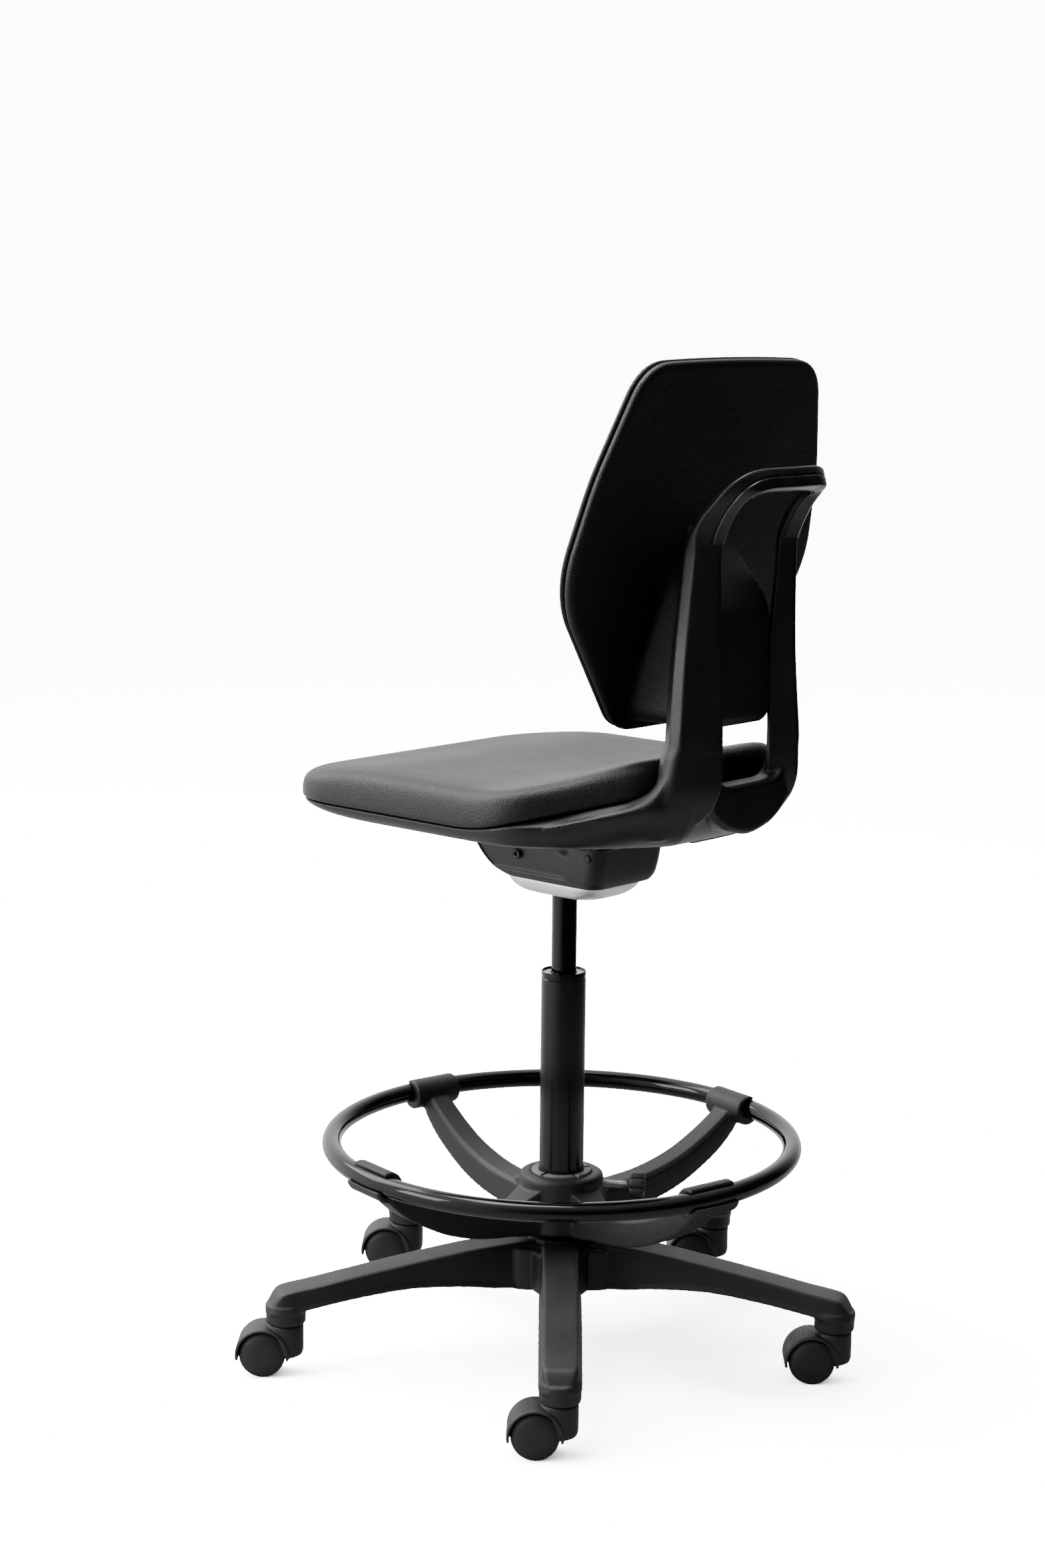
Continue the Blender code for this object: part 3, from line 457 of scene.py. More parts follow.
def metal(name, dark, light, roughness, stretch=(1, 1, 0.06), scale=240.0):
    """Bare or zinc-plated metal with faint brushing."""
    m = Nodes(name, dark, roughness, 1.0)
    brush = m.noise(scale, 4.0, stretch)
    m.color(m.mix(m.between(brush, 0.3, 0.7, 0.0, 1.0), dark, light))
    m.roughness(m.between(brush, 0.3, 0.7, roughness - 0.07, roughness + 0.10))
    m.bump(brush, 0.08, 0.0003)
    return m.material


def ribbed(name, color, roughness):
    """Glossy rubber with a fine woven rib."""
    m = Nodes(name, color, roughness)
    height = None
    for direction in ("DIAGONAL", "X"):
        wave = m.node("ShaderNodeTexWave", Vector=m.coord, Scale=210.0, Distortion=0.0)
        wave.bands_direction = direction
        height = wave.outputs["Fac"] if height is None else m.sum(height, wave.outputs["Fac"])
    m.bump(height, 0.10, 0.0003)
    slow = m.noise(40.0, 3.0)
    m.roughness(m.between(slow, 0.3, 0.7, roughness - 0.05, roughness + 0.08))
    m.color(m.mix(m.between(slow, 0.35, 0.7, 0.0, 1.0), color, tuple(c * 2 + 0.004 for c in color)))
    return m.material


SEAT_SKIN = foam_skin("seat_skin", (0.0080, 0.0077, 0.0075), (0.0150, 0.0146, 0.0143), 0.42, 0.28)
BACK_SKIN = foam_skin("back_skin", (0.0020, 0.0020, 0.0020), (0.0042, 0.0042, 0.0042), 0.46, 0.42)
POLYAMIDE = moulded("polyamide", (0.0022, 0.0022, 0.0023), (0.0045, 0.0045, 0.0046), 0.40)
BASE_PLASTIC = moulded("base_plastic", (0.0045, 0.0045, 0.0046), (0.0085, 0.0085, 0.0087), 0.50, 1100.0, 0.28,
                       (0.026, 0.026, 0.027))
CASTOR_PLASTIC = moulded("castor_plastic", (0.0085, 0.0085, 0.0088), (0.0150, 0.0150, 0.0152), 0.50,
                         900.0, 0.25, (0.034, 0.034, 0.035))
GLOSS_BLACK = lacquer("gloss_black", (0.0020, 0.0020, 0.0022), 0.09, 0.004)
SATIN_BLACK = lacquer("satin_black", (0.0024, 0.0024, 0.0027), 0.20, 0.004)
ZINC = metal("zinc", (0.42, 0.43, 0.45), (0.66, 0.67, 0.69), 0.30)
PALE_METAL = metal("pale_metal", (0.86, 0.84, 0.81), (0.96, 0.94, 0.92), 0.42, (1, 1, 1), 420.0)
BUSH_GREY = moulded("bush_grey", (0.10, 0.10, 0.10), (0.16, 0.16, 0.157), 0.48)
GRIP = ribbed("grip", (0.0035, 0.0035, 0.0035), 0.24)

SLOT_MATERIALS = {
    "polyamide": POLYAMIDE, "castor_plastic": CASTOR_PLASTIC, "black_lacquer": GLOSS_BLACK,
    "satin_black_steel": SATIN_BLACK, "zinc_steel": ZINC, "light_metal": PALE_METAL,
    "seat_foam": SEAT_SKIN, "grip_rubber": GRIP, "bush_plastic": BUSH_GREY,
}


def finish_cad_nodes():
    """Every CAD node that stays in view takes the finish of its slot."""
    for entry in frame["record"]["subparts"]:
        node = frame["nodes"][entry["node"]]
        node.data.materials.clear()
        node.data.materials.append(SLOT_MATERIALS[entry["material_slot"]])


# ---- seat ----
SEAM_FRONT = 0.629
SEAM_SLOPE = 0.271
SEAM_KNEE = 0.060
SEAT_LOW, SEAT_HIGH = chair_box("seat_cushion")
SEAT_HALF = SEAT_HIGH.x
SEAT_CORNERS = (
    (SEAT_HALF, SEAT_LOW.y, 0.085), (SEAT_HALF - 0.0002, SEAM_KNEE, 0.004),
    (SEAT_HALF - 0.0008, 0.100, 0.075), (0.108, SEAT_HIGH.y, 0.045),
)
SHELL_HALF = SEAT_HALF - 0.0015
SHELL_CORNERS = (
    (SHELL_HALF, SEAT_LOW.y + 0.0015, 0.080), (SHELL_HALF, -0.130, 0.004),
    (SHELL_HALF - 0.0003, SEAM_KNEE, 0.004), (SHELL_HALF - 0.001, 0.102, 0.080),
    (0.120, 0.222, 0.060), (0.080, 0.254, 0.030),
)
SHELL_BOTTOM = 0.611
NOSE_KNEE = -0.130
NOSE_SLOPE = 0.08
CROWN = 0.0415           # the pad's middle over the seam
DISH = 0.0025
REAR_DIP = 0.16          # share of its rise that the pad loses at the rear corners


def soft_ramp(value, width):
    """0 below -width, rising smoothly to the line y = value above width."""
    if value < -width:
        return 0.0
    if value > width:
        return value
    return (value + width) ** 2 / (4 * width)


def seam_height(y):
    return SEAM_FRONT + SEAM_SLOPE * soft_ramp(y - SEAM_KNEE, 0.035)


def shell_bottom(y):
    return SHELL_BOTTOM + NOSE_SLOPE * soft_ramp(NOSE_KNEE - y, 0.03)


def rear_corner(p):
    """1 at the seat's rear corners, 0 over the rest of it."""
    return smoothstep(0.02, 0.15, p.y) * smoothstep(0.08, 0.19, abs(p.x))


def nose_dip(p):
    return 0.010 * smoothstep(-0.10, -0.24, p.y)


def seat_pad():
    """The foam seat: rolled edge, a crown that dishes slightly and a lip at the rear."""
    profile = spline((
        (0.0045, 0.0004), (0.0010, 0.0024), (0.0, 0.0080), (0.0006, 0.0205), (0.0030, 0.0300),
        (0.0085, 0.0366), (0.0170, 0.0401), (0.0300, 0.0414), (0.0450, 0.0418)), 3)
    rings = []
    for inset, rise in profile:
        ring = []
        for p in outline(SEAT_CORNERS, inset, 176):
            lift = rise * (1 - REAR_DIP * rear_corner(p)) - nose_dip(p) * rise / 0.042
            ring.append((p.x, p.y, seam_height(p.y) + lift))
        rings.append(ring)
    top = rings[-1]
    centre = Vector((0, -0.02))
    for k in range(1, 12):
        share = k / 12
        ring = []
        for x, y, z in top:
            flat = Vector((x, y)).lerp(centre, share)
            dish = DISH * math.exp(-((flat.x / 0.12) ** 2 + (flat.y / 0.14) ** 2))
            level = seam_height(flat.y) + CROWN * (1 - REAR_DIP * rear_corner(flat)) - nose_dip(flat)
            ring.append((flat.x, flat.y, level - dish * smoothstep(0, 0.4, share)))
        rings.append(ring)
    tip = (centre.x, centre.y, seam_height(centre.y) + CROWN - DISH)
    pad = piece("seat_pad", domed(rings, tip), SEAT_SKIN, "seat", ["seat_cushion"],
                angle=math.radians(60))
    return pad


# ---- bracket ----
# one side plate and half of the handle, from the plate's foot up to the middle of the bar:
# x, y, z of the centre, facing, width, thickness; facing 0 looks to the rear, 90 outward
PLATE_STATIONS = (
    (0.1013, 0.2181, 0.6215, 38, 0.0120, 0.0310), (0.0934, 0.2242, 0.6320, 38, 0.0360, 0.0330),
    (0.0869, 0.2293, 0.6450, 38, 0.0515, 0.0335), (0.0824, 0.2328, 0.6600, 38, 0.0600, 0.0335),
    (0.0786, 0.2358, 0.6800, 38, 0.0625, 0.0335), (0.0768, 0.2372, 0.7000, 38, 0.0610, 0.0335),
    (0.0760, 0.2378, 0.7150, 38, 0.0582, 0.0335), (0.0745, 0.2390, 0.7300, 38, 0.0545, 0.0335),
    (0.0707, 0.2372, 0.8100, 38, 0.0485, 0.0300), (0.0703, 0.2402, 0.8900, 39, 0.0400, 0.0220),
    (0.0690, 0.2430, 0.9300, 40, 0.0360, 0.0205), (0.0672, 0.2565, 0.9580, 40, 0.0320, 0.0205),
    (0.0648, 0.2740, 0.9780, 36, 0.0280, 0.0210), (0.0570, 0.2870, 0.9890, 30, 0.0245, 0.0210),
    (0.0430, 0.2928, 0.9935, 24, 0.0225, 0.0210), (0.0200, 0.2948, 0.9945, 21, 0.0220, 0.0210),
    (0.0000, 0.2950, 0.9945, 20, 0.0220, 0.0210),
)
PLATE_STEPS = 8
PLATE_CORNER = 0.0022
BAND_WIDTH = 0.0075
FOOT_RADIUS = 0.072      # the plates' rear faces curve under the seat
FOOT_LEVEL = 0.617
FOOT_LEAST = 0.004
GRIP_STATION = 10        # where the hand grip begins
BRACKET_VOXEL = 0.0014
# edges of the gusset that carries the seat shell up into an upright: outer, cushion side, inner, lower
GUSSET = (
    ((0.1860, 0.1340, 0.6365), (0.1770, 0.1270, 0.6458), (0.1600, 0.1180, 0.6300), (0.1700, 0.1300, 0.6330)),
    ((0.1585, 0.1705, 0.6475), (0.1480, 0.1560, 0.6548), (0.1300, 0.1500, 0.6320), (0.1440, 0.1660, 0.6350)),
    ((0.1385, 0.1965, 0.6552), (0.1260, 0.1830, 0.6628), (0.1050, 0.1750, 0.6360), (0.1180, 0.1900, 0.6380)),
    ((0.1255, 0.2120, 0.6620), (0.1150, 0.1995, 0.6700), (0.0900, 0.2050, 0.6450), (0.1060, 0.2160, 0.6450)),
    ((0.1165, 0.2225, 0.6705), (0.1065, 0.2080, 0.6790), (0.0820, 0.2200, 0.6620), (0.0950, 0.2310, 0.6580)),
    ((0.1105, 0.2270, 0.6830), (0.1015, 0.2140, 0.6910), (0.0780, 0.2250, 0.6800), (0.0880, 0.2400, 0.6760)),
    ((0.1045, 0.2325, 0.7010), (0.0985, 0.2190, 0.7080), (0.0760, 0.2270, 0.7000), (0.0850, 0.2440, 0.6960)),
    ((0.0962, 0.2390, 0.7300), (0.0960, 0.2240, 0.7350), (0.0750, 0.2280, 0.7280), (0.0840, 0.2440, 0.7260)),
)
# half of the web between the plates: x, underside, top
WEB_STATIONS = (
    (0.000, 0.6240, 0.6790), (0.030, 0.6300, 0.6792), (0.042, 0.6355, 0.6815), (0.050, 0.6405, 0.6870),
    (0.056, 0.6460, 0.6960), (0.060, 0.6500, 0.7080), (0.066, 0.6560, 0.7100),
)
WEB_FRONT = 0.2290
WEB_REAR = 0.2570
WEB_CORNER = 0.006


def curved_under(z):
    """How far the rear faces have curved in at this height."""
    below = min(max(FOOT_RADIUS + FOOT_LEVEL - z, 0.0), FOOT_RADIUS)
    return FOOT_RADIUS - math.sqrt(FOOT_RADIUS ** 2 - below ** 2)


def plate_frames():
    """Fine stations from one plate's foot over the handle to the other: centre, broad and
    facing directions, width, thickness."""
    mirrored = [(-x, y, z, a, w, t) for x, y, z, a, w, t in reversed(PLATE_STATIONS[:-1])]
    fine = spline(list(PLATE_STATIONS) + mirrored, PLATE_STEPS)
    frames = []
    rear = Vector((0, 1, 0))
    for i, (x, y, z, facing, width, thickness) in enumerate(fine):
        before, after = fine[max(i - 1, 0)], fine[min(i + 1, len(fine) - 1)]
        run = Vector((after[0] - before[0], 0, after[2] - before[2])).normalized()
        if z < 0.73:
            run = Vector((0, 0, 1 if x > 0 else -1))
        outward = Vector((run.z, 0, -run.x))
        turn = math.radians(facing)
        face = rear * math.cos(turn) + outward * math.sin(turn)
        broad = outward * math.cos(turn) - rear * math.sin(turn)
        lost = min(curved_under(z), thickness - FOOT_LEAST)
        frames.append((Vector((x, y, z)) - face * lost / 2, broad, face, width, thickness - lost))
    return frames


def chamfer_width(z, thickness):
    """The slanted band down the outer rear edge of a plate: none at the handle, wide below."""
    return min(PLATE_CORNER + BAND_WIDTH * smoothstep(0.952, 0.915, z), 0.75 * thickness)


def plate_section(half_width, half_thickness, chamfer):
    """Closed (broad, facing) outline with small radii and one wide slanted corner, outer and rear."""
    out = [(half_width, half_thickness - chamfer), (half_width - chamfer * 0.92, half_thickness)]
    for sa, sb in ((-1, 1), (-1, -1), (1, -1)):
        a, b = sa * half_width, sb * half_thickness
        pair = [(a - sa * PLATE_CORNER, b), (a, b - sb * PLATE_CORNER)]
        out += pair if (sa, sb) != (-1, -1) else pair[::-1]
    return out


# inset of the seat shell's wall along the sides and at the rear, and share of its height
SHELL_PROFILE = (
    (0.044, 0.064, 0.0), (0.034, 0.056, 0.004), (0.016, 0.038, 0.16), (0.009, 0.022, 0.38),
    (0.004, 0.008, 0.70), (0.002, 0.002, 1.0),
)
LEDGE_DROP = 0.95        # slope of the rim beyond the cushion
SHELL_POINTS = 220
SEAM_GAP = 0.0005
RIM_INSET = 0.002
RIM_SPAN = 0.020


def ledge_width(y):
    """The seat shell's rim, beyond the cushion: none at the side, wide at the rear corners."""
    return 0.0014 + 0.0105 * smoothstep(0.085, 0.150, y)


def soften_feet(body):
    """Ease the seat shell's wall into the lower ends of the plates."""
    group = body.vertex_groups.new(name="feet")
    for vert in body.data.vertices:
        x, y, z = abs(vert.co.x), vert.co.y, vert.co.z
        weight = smoothstep(0.168, 0.140, x) * smoothstep(0.078, 0.094, x) * smoothstep(0.160, 0.180, y)
        weight *= smoothstep(0.745, 0.690, z) * smoothstep(0.610, 0.614, z)
        weight *= 1 - smoothstep(0.0, 0.010, z - seam_height(y) + 0.013) * smoothstep(0.215, 0.200, y)
        if weight > 0.01:
            group.add([vert.index], weight, "REPLACE")
    modify(body, "SMOOTH", factor=0.5, iterations=90, vertex_group="feet")
    apply_all(body)


def bracket():
    """Seat shell, two plates and a handle in one moulding with tight fillets."""
    rings = []
    for side_inset, rear_inset, share in spline(SHELL_PROFILE, 3):
        ring = []
        walls = [outline(SHELL_CORNERS, inset, SHELL_POINTS) for inset in (side_inset, rear_inset)]
        for side, rear in zip(*walls):
            p = side.lerp(rear, smoothstep(0.140, 0.215, side.y))
            low, high = shell_bottom(p.y), seam_height(p.y) - SEAM_GAP
            ring.append((p.x, p.y, low + share * (high - low - LEDGE_DROP * ledge_width(p.y))))
        rings.append(ring)
    side, far = (outline(SHELL_CORNERS, inset, SHELL_POINTS) for inset in (RIM_INSET, RIM_INSET + RIM_SPAN))
    for drop, share in ((LEDGE_DROP, 0.0), (0.0, 1.0), (0.0, 1.6)):
        ring = []
        for p, q in zip(side, far):
            rim = ledge_width(p.y)
            flat = p.lerp(q, min(rim * share / RIM_SPAN, 1.0))
            ring.append((flat.x, flat.y, seam_height(flat.y) - SEAM_GAP - drop * rim))
        rings.append(ring)
    parts = [loft(rings)]
    plate_rings = []
    for centre, broad, face, width, thickness in plate_frames():
        section = plate_section(width / 2, thickness / 2, chamfer_width(centre.z, thickness))
        plate_rings.append([centre + broad * a + face * b for a, b in section])
    parts.append(loft(plate_rings))
    for side in (1, -1):
        flat = [tuple(number for x, y, z in row for number in (side * x, y, z)) for row in GUSSET]
        parts.append(loft([[row[k:k + 3] for k in (0, 3, 6, 9)] for row in spline(flat, 5)]))
    web = spline([(-x, low, high) for x, low, high in reversed(WEB_STATIONS[1:])] + list(WEB_STATIONS), 4)
    depth = (WEB_REAR - WEB_FRONT) / 2
    parts.append(loft([
        [(x, WEB_FRONT + depth + a, (low + high) / 2 + b)
         for a, b in rounded(depth, (high - low) / 2, WEB_CORNER, 3)] for x, low, high in web]))
    body = piece("bracket", merged(*parts), POLYAMIDE, "seat", ["back_bracket"])
    modify(body, "REMESH", mode="VOXEL", voxel_size=BRACKET_VOXEL, use_smooth_shade=True)
    modify(body, "SMOOTH", factor=0.5, iterations=4)
    apply_all(body)
    soften_feet(body)
    modify(body, "DECIMATE", ratio=0.30)
    apply_all(body)
    carve(body, grip_groove())
    return body


GRIP_COVER = 0.0118      # how far the grip reaches over the handle's rear face
GRIP_WRAP = 0.0060       # and how far it stops short of the front face
GRIP_DEPTH = 0.0030
GRIP_PROUD = 0.0009
GROOVE_RADIUS = 0.0010


def grip_frames():
    frames = plate_frames()
    first = GRIP_STATION * PLATE_STEPS
    return frames[first:len(frames) - first]


def grip_groove():
    """The thin parting groove beside the hand grip, as a shape to cut out."""
    rings = []
    for centre, broad, face, width, thickness in grip_frames():
        line = centre + broad * (GRIP_COVER - width / 2) + face * (thickness / 2)
        rings.append([line + broad * a + face * b for a, b in circle(GROOVE_RADIUS, 8)])
    return loft(rings)


def grip():
    """Glossy hand grip that wraps the inner edge of the handle and stands a little proud of it."""
    rings = []
    stations = grip_frames()
    for i, (centre, broad, face, width, thickness) in enumerate(stations):
        end = min(i, len(stations) - 1 - i)
        proud = GRIP_PROUD * smoothstep(-1, 3, end)
        inner, rear, front = -width / 2 - proud, thickness / 2 + proud, -thickness / 2 + GRIP_WRAP
        cover = GRIP_COVER - GRIP_PROUD - width / 2
        section = (
            (cover, rear - 0.0007), (cover - 0.0007, rear), (inner + 0.0032, rear),
            (inner + 0.0010, rear - 0.0009), (inner, rear - 0.0030), (inner, front + 0.0008),
            (inner + 0.0008, front),
            (inner + GRIP_DEPTH, front), (inner + GRIP_DEPTH, rear - GRIP_DEPTH), (cover, rear - GRIP_DEPTH))
        rings.append([centre + broad * a + face * b for a, b in section])
    return piece("grip", loft(rings), GRIP, "seat", ["handle_grip"])


# ---- backrest ----
BACK_LEAN = math.radians(14.2)
BACK_FOOT = Vector((0, 0.1310, 0.725))
BACK_UP = Vector((0, math.sin(BACK_LEAN), math.cos(BACK_LEAN)))
BACK_REAR = Vector((0, math.cos(BACK_LEAN), -math.sin(BACK_LEAN)))
BACK_CORNERS = (
    (0.068, -0.001, 0.055), (0.201, 0.157, 0.110), (0.181, 0.275, 0.300), (0.140, 0.3955, 0.050),
)
BACK_POINTS = 180
BULGE_REAR = 0.2118
DOME = 0.0035
LUMBAR = 0.0045


def bulge(u, v):
    """How far the shell's middle stands out to the rear at (u, v) on its face."""
    height = BACK_FOOT.z + v * BACK_UP.z
    plane = BACK_FOOT.y + v * BACK_UP.y
    rise = (BULGE_REAR - plane) * smoothstep(0.730, 0.756, height) * (1 - smoothstep(0.845, 0.940, height))
    half = 0.034 + 0.010 * smoothstep(0.90, 0.75, height)
    return max(rise, 0.0) * (1 - smoothstep(half - 0.016, half + 0.016, abs(u)))


def back_point(u, v, depth):
    """A point on the backrest; its top edge arches a little."""
    v += 0.0035 * smoothstep(0.33, 0.39, v) * (1 - (u / 0.14) ** 2)
    return BACK_FOOT + BACK_UP * v + BACK_REAR * depth + Vector((u, 0, 0))


def back_panel():
    """Rear shell: a soft edge band, a nearly flat face and the raised middle."""
    rings = []
    for inset, depth in spline(((0.0060, -0.0092), (0.0012, -0.0082), (0.0, -0.0050), (0.0012, -0.0018),
                                (0.0052, -0.0002), (0.0110, 0.0)), 3):
        rings.append([back_point(p.x, p.y, depth) for p in outline(BACK_CORNERS, inset, BACK_POINTS)])
    edge = outline(BACK_CORNERS, 0.0110, BACK_POINTS)
    centre = Vector((0, 0.17))
    for k in range(1, 40):
        share = k / 40
        ring = []
        for p in edge:
            flat = p.lerp(centre, share)
            dome = DOME * smoothstep(0.0, 0.8, share)
            ring.append(back_point(flat.x, flat.y, dome + bulge(flat.x, flat.y)))
        rings.append(ring)
    tip = back_point(centre.x, centre.y, DOME + bulge(0, centre.y))
    return piece("back_panel", domed(rings, tip), BACK_SKIN, "backrest", ["back_shell"],
                 angle=math.radians(50))


def lumbar(v):
    return LUMBAR * math.exp(-((v - 0.13) / 0.075) ** 2)


def back_pad():
    """The foam of the backrest: a rolled border and a shallow crowned front."""
    rings = []
    for inset, depth in spline(((0.0075, -0.0094), (0.0015, -0.0104), (0.0, -0.0130), (0.0018, -0.0160),
                                (0.0080, -0.0196), (0.0200, -0.0235), (0.0400, -0.0262)), 3):
        rings.append([back_point(p.x, p.y, depth) for p in outline(BACK_CORNERS, inset, BACK_POINTS)])
    edge = outline(BACK_CORNERS, 0.0400, BACK_POINTS)
    centre = Vector((0, 0.18))
    for k in range(1, 14):
        share = k / 14
        ring = []
        for p in edge:
            flat = p.lerp(centre, share)
            depth = -0.0262 - 0.002 * smoothstep(0, 1, share) - lumbar(flat.y) * smoothstep(0, 0.5, share)
            ring.append(back_point(flat.x, flat.y, depth))
        rings.append(ring)
    tip = back_point(0, centre.y, -0.0282 - lumbar(centre.y))
    pad = piece("back_pad", domed(rings, tip), SEAT_SKIN, "backrest", ["back_cushion"],
                angle=math.radians(60))
    return pad


SLIDER_WIDE = 0.0758
SLIDER_NARROW = 0.0604
BLOCK_WIDE = 0.0405      # half width of the fairing that reaches between the uprights
BLOCK_NARROW = 0.0300
BLOCK_REAR = 0.2466
BLOCK_BELOW = 0.006      # how far it ends below the carrier
BLOCK_TOP = 0.955


def slider_fairing(low):
    """The soft block behind the carrier; it leans and narrows into the raised middle of the back."""
    rings = []
    steps = 72
    bottom = low.z - BLOCK_BELOW
    for k in range(steps + 1):
        z = bottom + (BLOCK_TOP - bottom) * k / steps
        ease = 0.0050 * (1 - math.sqrt(smoothstep(0.0, 0.009, z - bottom)))
        lean = smoothstep(0.845, 0.965, z)
        wide = BLOCK_WIDE - (BLOCK_WIDE - BLOCK_NARROW) * smoothstep(0.850, 0.950, z) - ease
        rear = BLOCK_REAR - 0.062 * lean - ease
        front = min(low.y + 0.004, rear - 0.009)
        half = [(wide - 0.002, front, z), (wide, front + 0.002, z), (wide, rear - 0.0055, z),
                (wide - 0.0014, rear - 0.0018, z), (wide - 0.0050, rear, z)]
        rings.append(half + [(0.0, rear + 0.0006, z)] + [(-x, y, z) for x, y, z in reversed(half)])
    return loft(rings)


def backrest_slider():
    """Carrier in front of the uprights, with the fairing that closes the space between them."""
    low, high = chair_box("back_slider")
    rings = []
    steps = 40
    for k in range(steps + 1):
        z = low.z + (high.z - low.z) * k / steps
        end = min(z - low.z, high.z - z)
        ease = 0.0060 * (1 - math.sqrt(smoothstep(0.0, 0.012, end)))
        front, rear = low.y + 0.0004, high.y - 0.0006 - ease
        half = [(SLIDER_WIDE, front, z), (SLIDER_WIDE - 0.0004, front + 0.0016, z),
                (SLIDER_NARROW + 0.0010, rear - 0.0014, z), (SLIDER_NARROW - 0.0016, rear, z)]
        rings.append(half + [(-x, y, z) for x, y, z in reversed(half)])
    return piece("slider", merged(loft(rings), slider_fairing(low)), BACK_SKIN, "backrest",
                 ["back_slider"])


# ---- base ----
LEG_COUNT = 5
LEG_TURN = 41.8
LEG_RADIUS = 0.317
# distance from the column, underside, top, half width at the top and at the bottom edge
LEG_STATIONS = (
    (0.015, 0.0790, 0.1305, 0.0200, 0.0240), (0.045, 0.0790, 0.1305, 0.0200, 0.0240),
    (0.080, 0.0805, 0.1295, 0.0200, 0.0240), (0.120, 0.0860, 0.1262, 0.0200, 0.0240),
    (0.180, 0.0895, 0.1180, 0.0198, 0.0238), (0.240, 0.0845, 0.1088, 0.0196, 0.0236),
    (0.285, 0.0780, 0.1015, 0.0194, 0.0234), (0.306, 0.0745, 0.0988, 0.0192, 0.0234),
    (0.319, 0.0722, 0.0966, 0.0188, 0.0228), (0.326, 0.0715, 0.0935, 0.0172, 0.0212),
    (0.333, 0.0712, 0.0845, 0.0140, 0.0178), (0.3375, 0.0712, 0.0760, 0.0085, 0.0125),
)
LEG_CORNER = 0.0034
RIB_HEIGHT = 0.0035      # the leg's foot flange, a little wider than its wall
HUB_RADIUS = 0.046
HUB_BOTTOM = 0.0745
HUB_TOP = 0.1345
BOSS_RADIUS = 0.0222
BOSS_BOTTOM = 0.0582
BOSS_TOP = 0.080
SHOULDER_LEVEL = 0.1010
CLEARANCE = 0.0003
TUBE_RADIUS = 0.025
STEM_RADIUS = 0.0055


def leg_angle(number):
    return LEG_TURN + (number - 1) * 360 / LEG_COUNT


def leg_end(number):
    """The frame of a leg's castor boss, on the floor under it."""
    return turn_z(leg_angle(number)) @ Matrix.Translation((LEG_RADIUS, 0, 0))


def leg_section(low, high, top_half, low_half):
    """Closed (across, height) outline: rounded top, leaning walls, a narrow flange at the foot."""
    half = []
    for k in range(5):
        angle = math.pi / 2 * (1 - k / 4)
        across, up = LEG_CORNER * (math.cos(angle) - 1), LEG_CORNER * (math.sin(angle) - 1)
        half.append((top_half + across, high + up))
    wall = top_half + 0.35 * (low_half - top_half)
    half += [(wall, low + RIB_HEIGHT + 0.0025), (low_half - 0.0008, low + RIB_HEIGHT),
             (low_half, low + RIB_HEIGHT - 0.0010), (low_half - 0.0004, low + 0.0004),
             (low_half - 0.0040, low)]
    return half + [(-a, b) for a, b in reversed(half)]


def base():
    """Star base: hub with a stepped collar, five legs and the castor bosses in one moulding."""
    parts = [turned((
        (0.0, HUB_BOTTOM), (HUB_RADIUS - 0.006, HUB_BOTTOM), (HUB_RADIUS - 0.001, HUB_BOTTOM + 0.0015),
        (HUB_RADIUS, HUB_BOTTOM + 0.005), (HUB_RADIUS, HUB_TOP - 0.0095),
        (HUB_RADIUS - 0.002, HUB_TOP - 0.007), (HUB_RADIUS - 0.0065, HUB_TOP - 0.0065),
        (HUB_RADIUS - 0.0072, HUB_TOP - 0.0010),
        (HUB_RADIUS - 0.0085, HUB_TOP), (0.0, HUB_TOP)), 72)]
    fine = spline(LEG_STATIONS, 5)
    leg = loft([[(r, a, b) for a, b in leg_section(*station)] for r, *station in fine])
    shoulder = loft([[(r, a, SHOULDER_LEVEL + b) for a, b in rounded(half, 0.024, 0.004, 3)]
                     for r, half in ((0.030, 0.034), (0.046, 0.0305), (0.056, 0.0255), (0.062, 0.0205))])
    boss = turned((
        (0.0, BOSS_BOTTOM), (BOSS_RADIUS - 0.0015, BOSS_BOTTOM), (BOSS_RADIUS - 0.0002, BOSS_BOTTOM + 0.0012),
        (BOSS_RADIUS, BOSS_BOTTOM + 0.0115), (BOSS_RADIUS + 0.0007, BOSS_BOTTOM + 0.0130),
        (BOSS_RADIUS + 0.0007, BOSS_TOP), (0.0, BOSS_TOP)), 56)
    for number in range(1, LEG_COUNT + 1):
        place = turn_z(leg_angle(number))
        parts += [moved(leg, place), moved(shoulder, place), moved(boss, leg_end(number))]
    body = piece("base_body", merged(*parts), BASE_PLASTIC, "base", ["star_base"])
    fuse(body, 0.0016, 3, 0.32)
    bores = [rod(TUBE_RADIUS + CLEARANCE, 0.03, 0.2, 72)]
    for number in range(1, LEG_COUNT + 1):
        bores.append(moved(rod(STEM_RADIUS + CLEARANCE, 0.05, 0.0825), leg_end(number)))
    carve(body, merged(*bores))
    return body


# ---- castors ----
TRAIL_TURN = -48.6
WHEEL_RADIUS = 0.0255
WHEEL_OFFSET = 0.025
HOOD_RADIUS = 0.0300
HOOD_HALF = 0.0218
HOOD_INNER = 0.0268
HOOD_WEB_RADIUS = 0.0285
HOOD_TOP = 0.0573
HOOD_BOTTOM = 0.0195
HOUSING_RADIUS = 0.0195


def castor_place(number):
    return Matrix.Translation(leg_end(number).translation) @ turn_z(TRAIL_TURN)


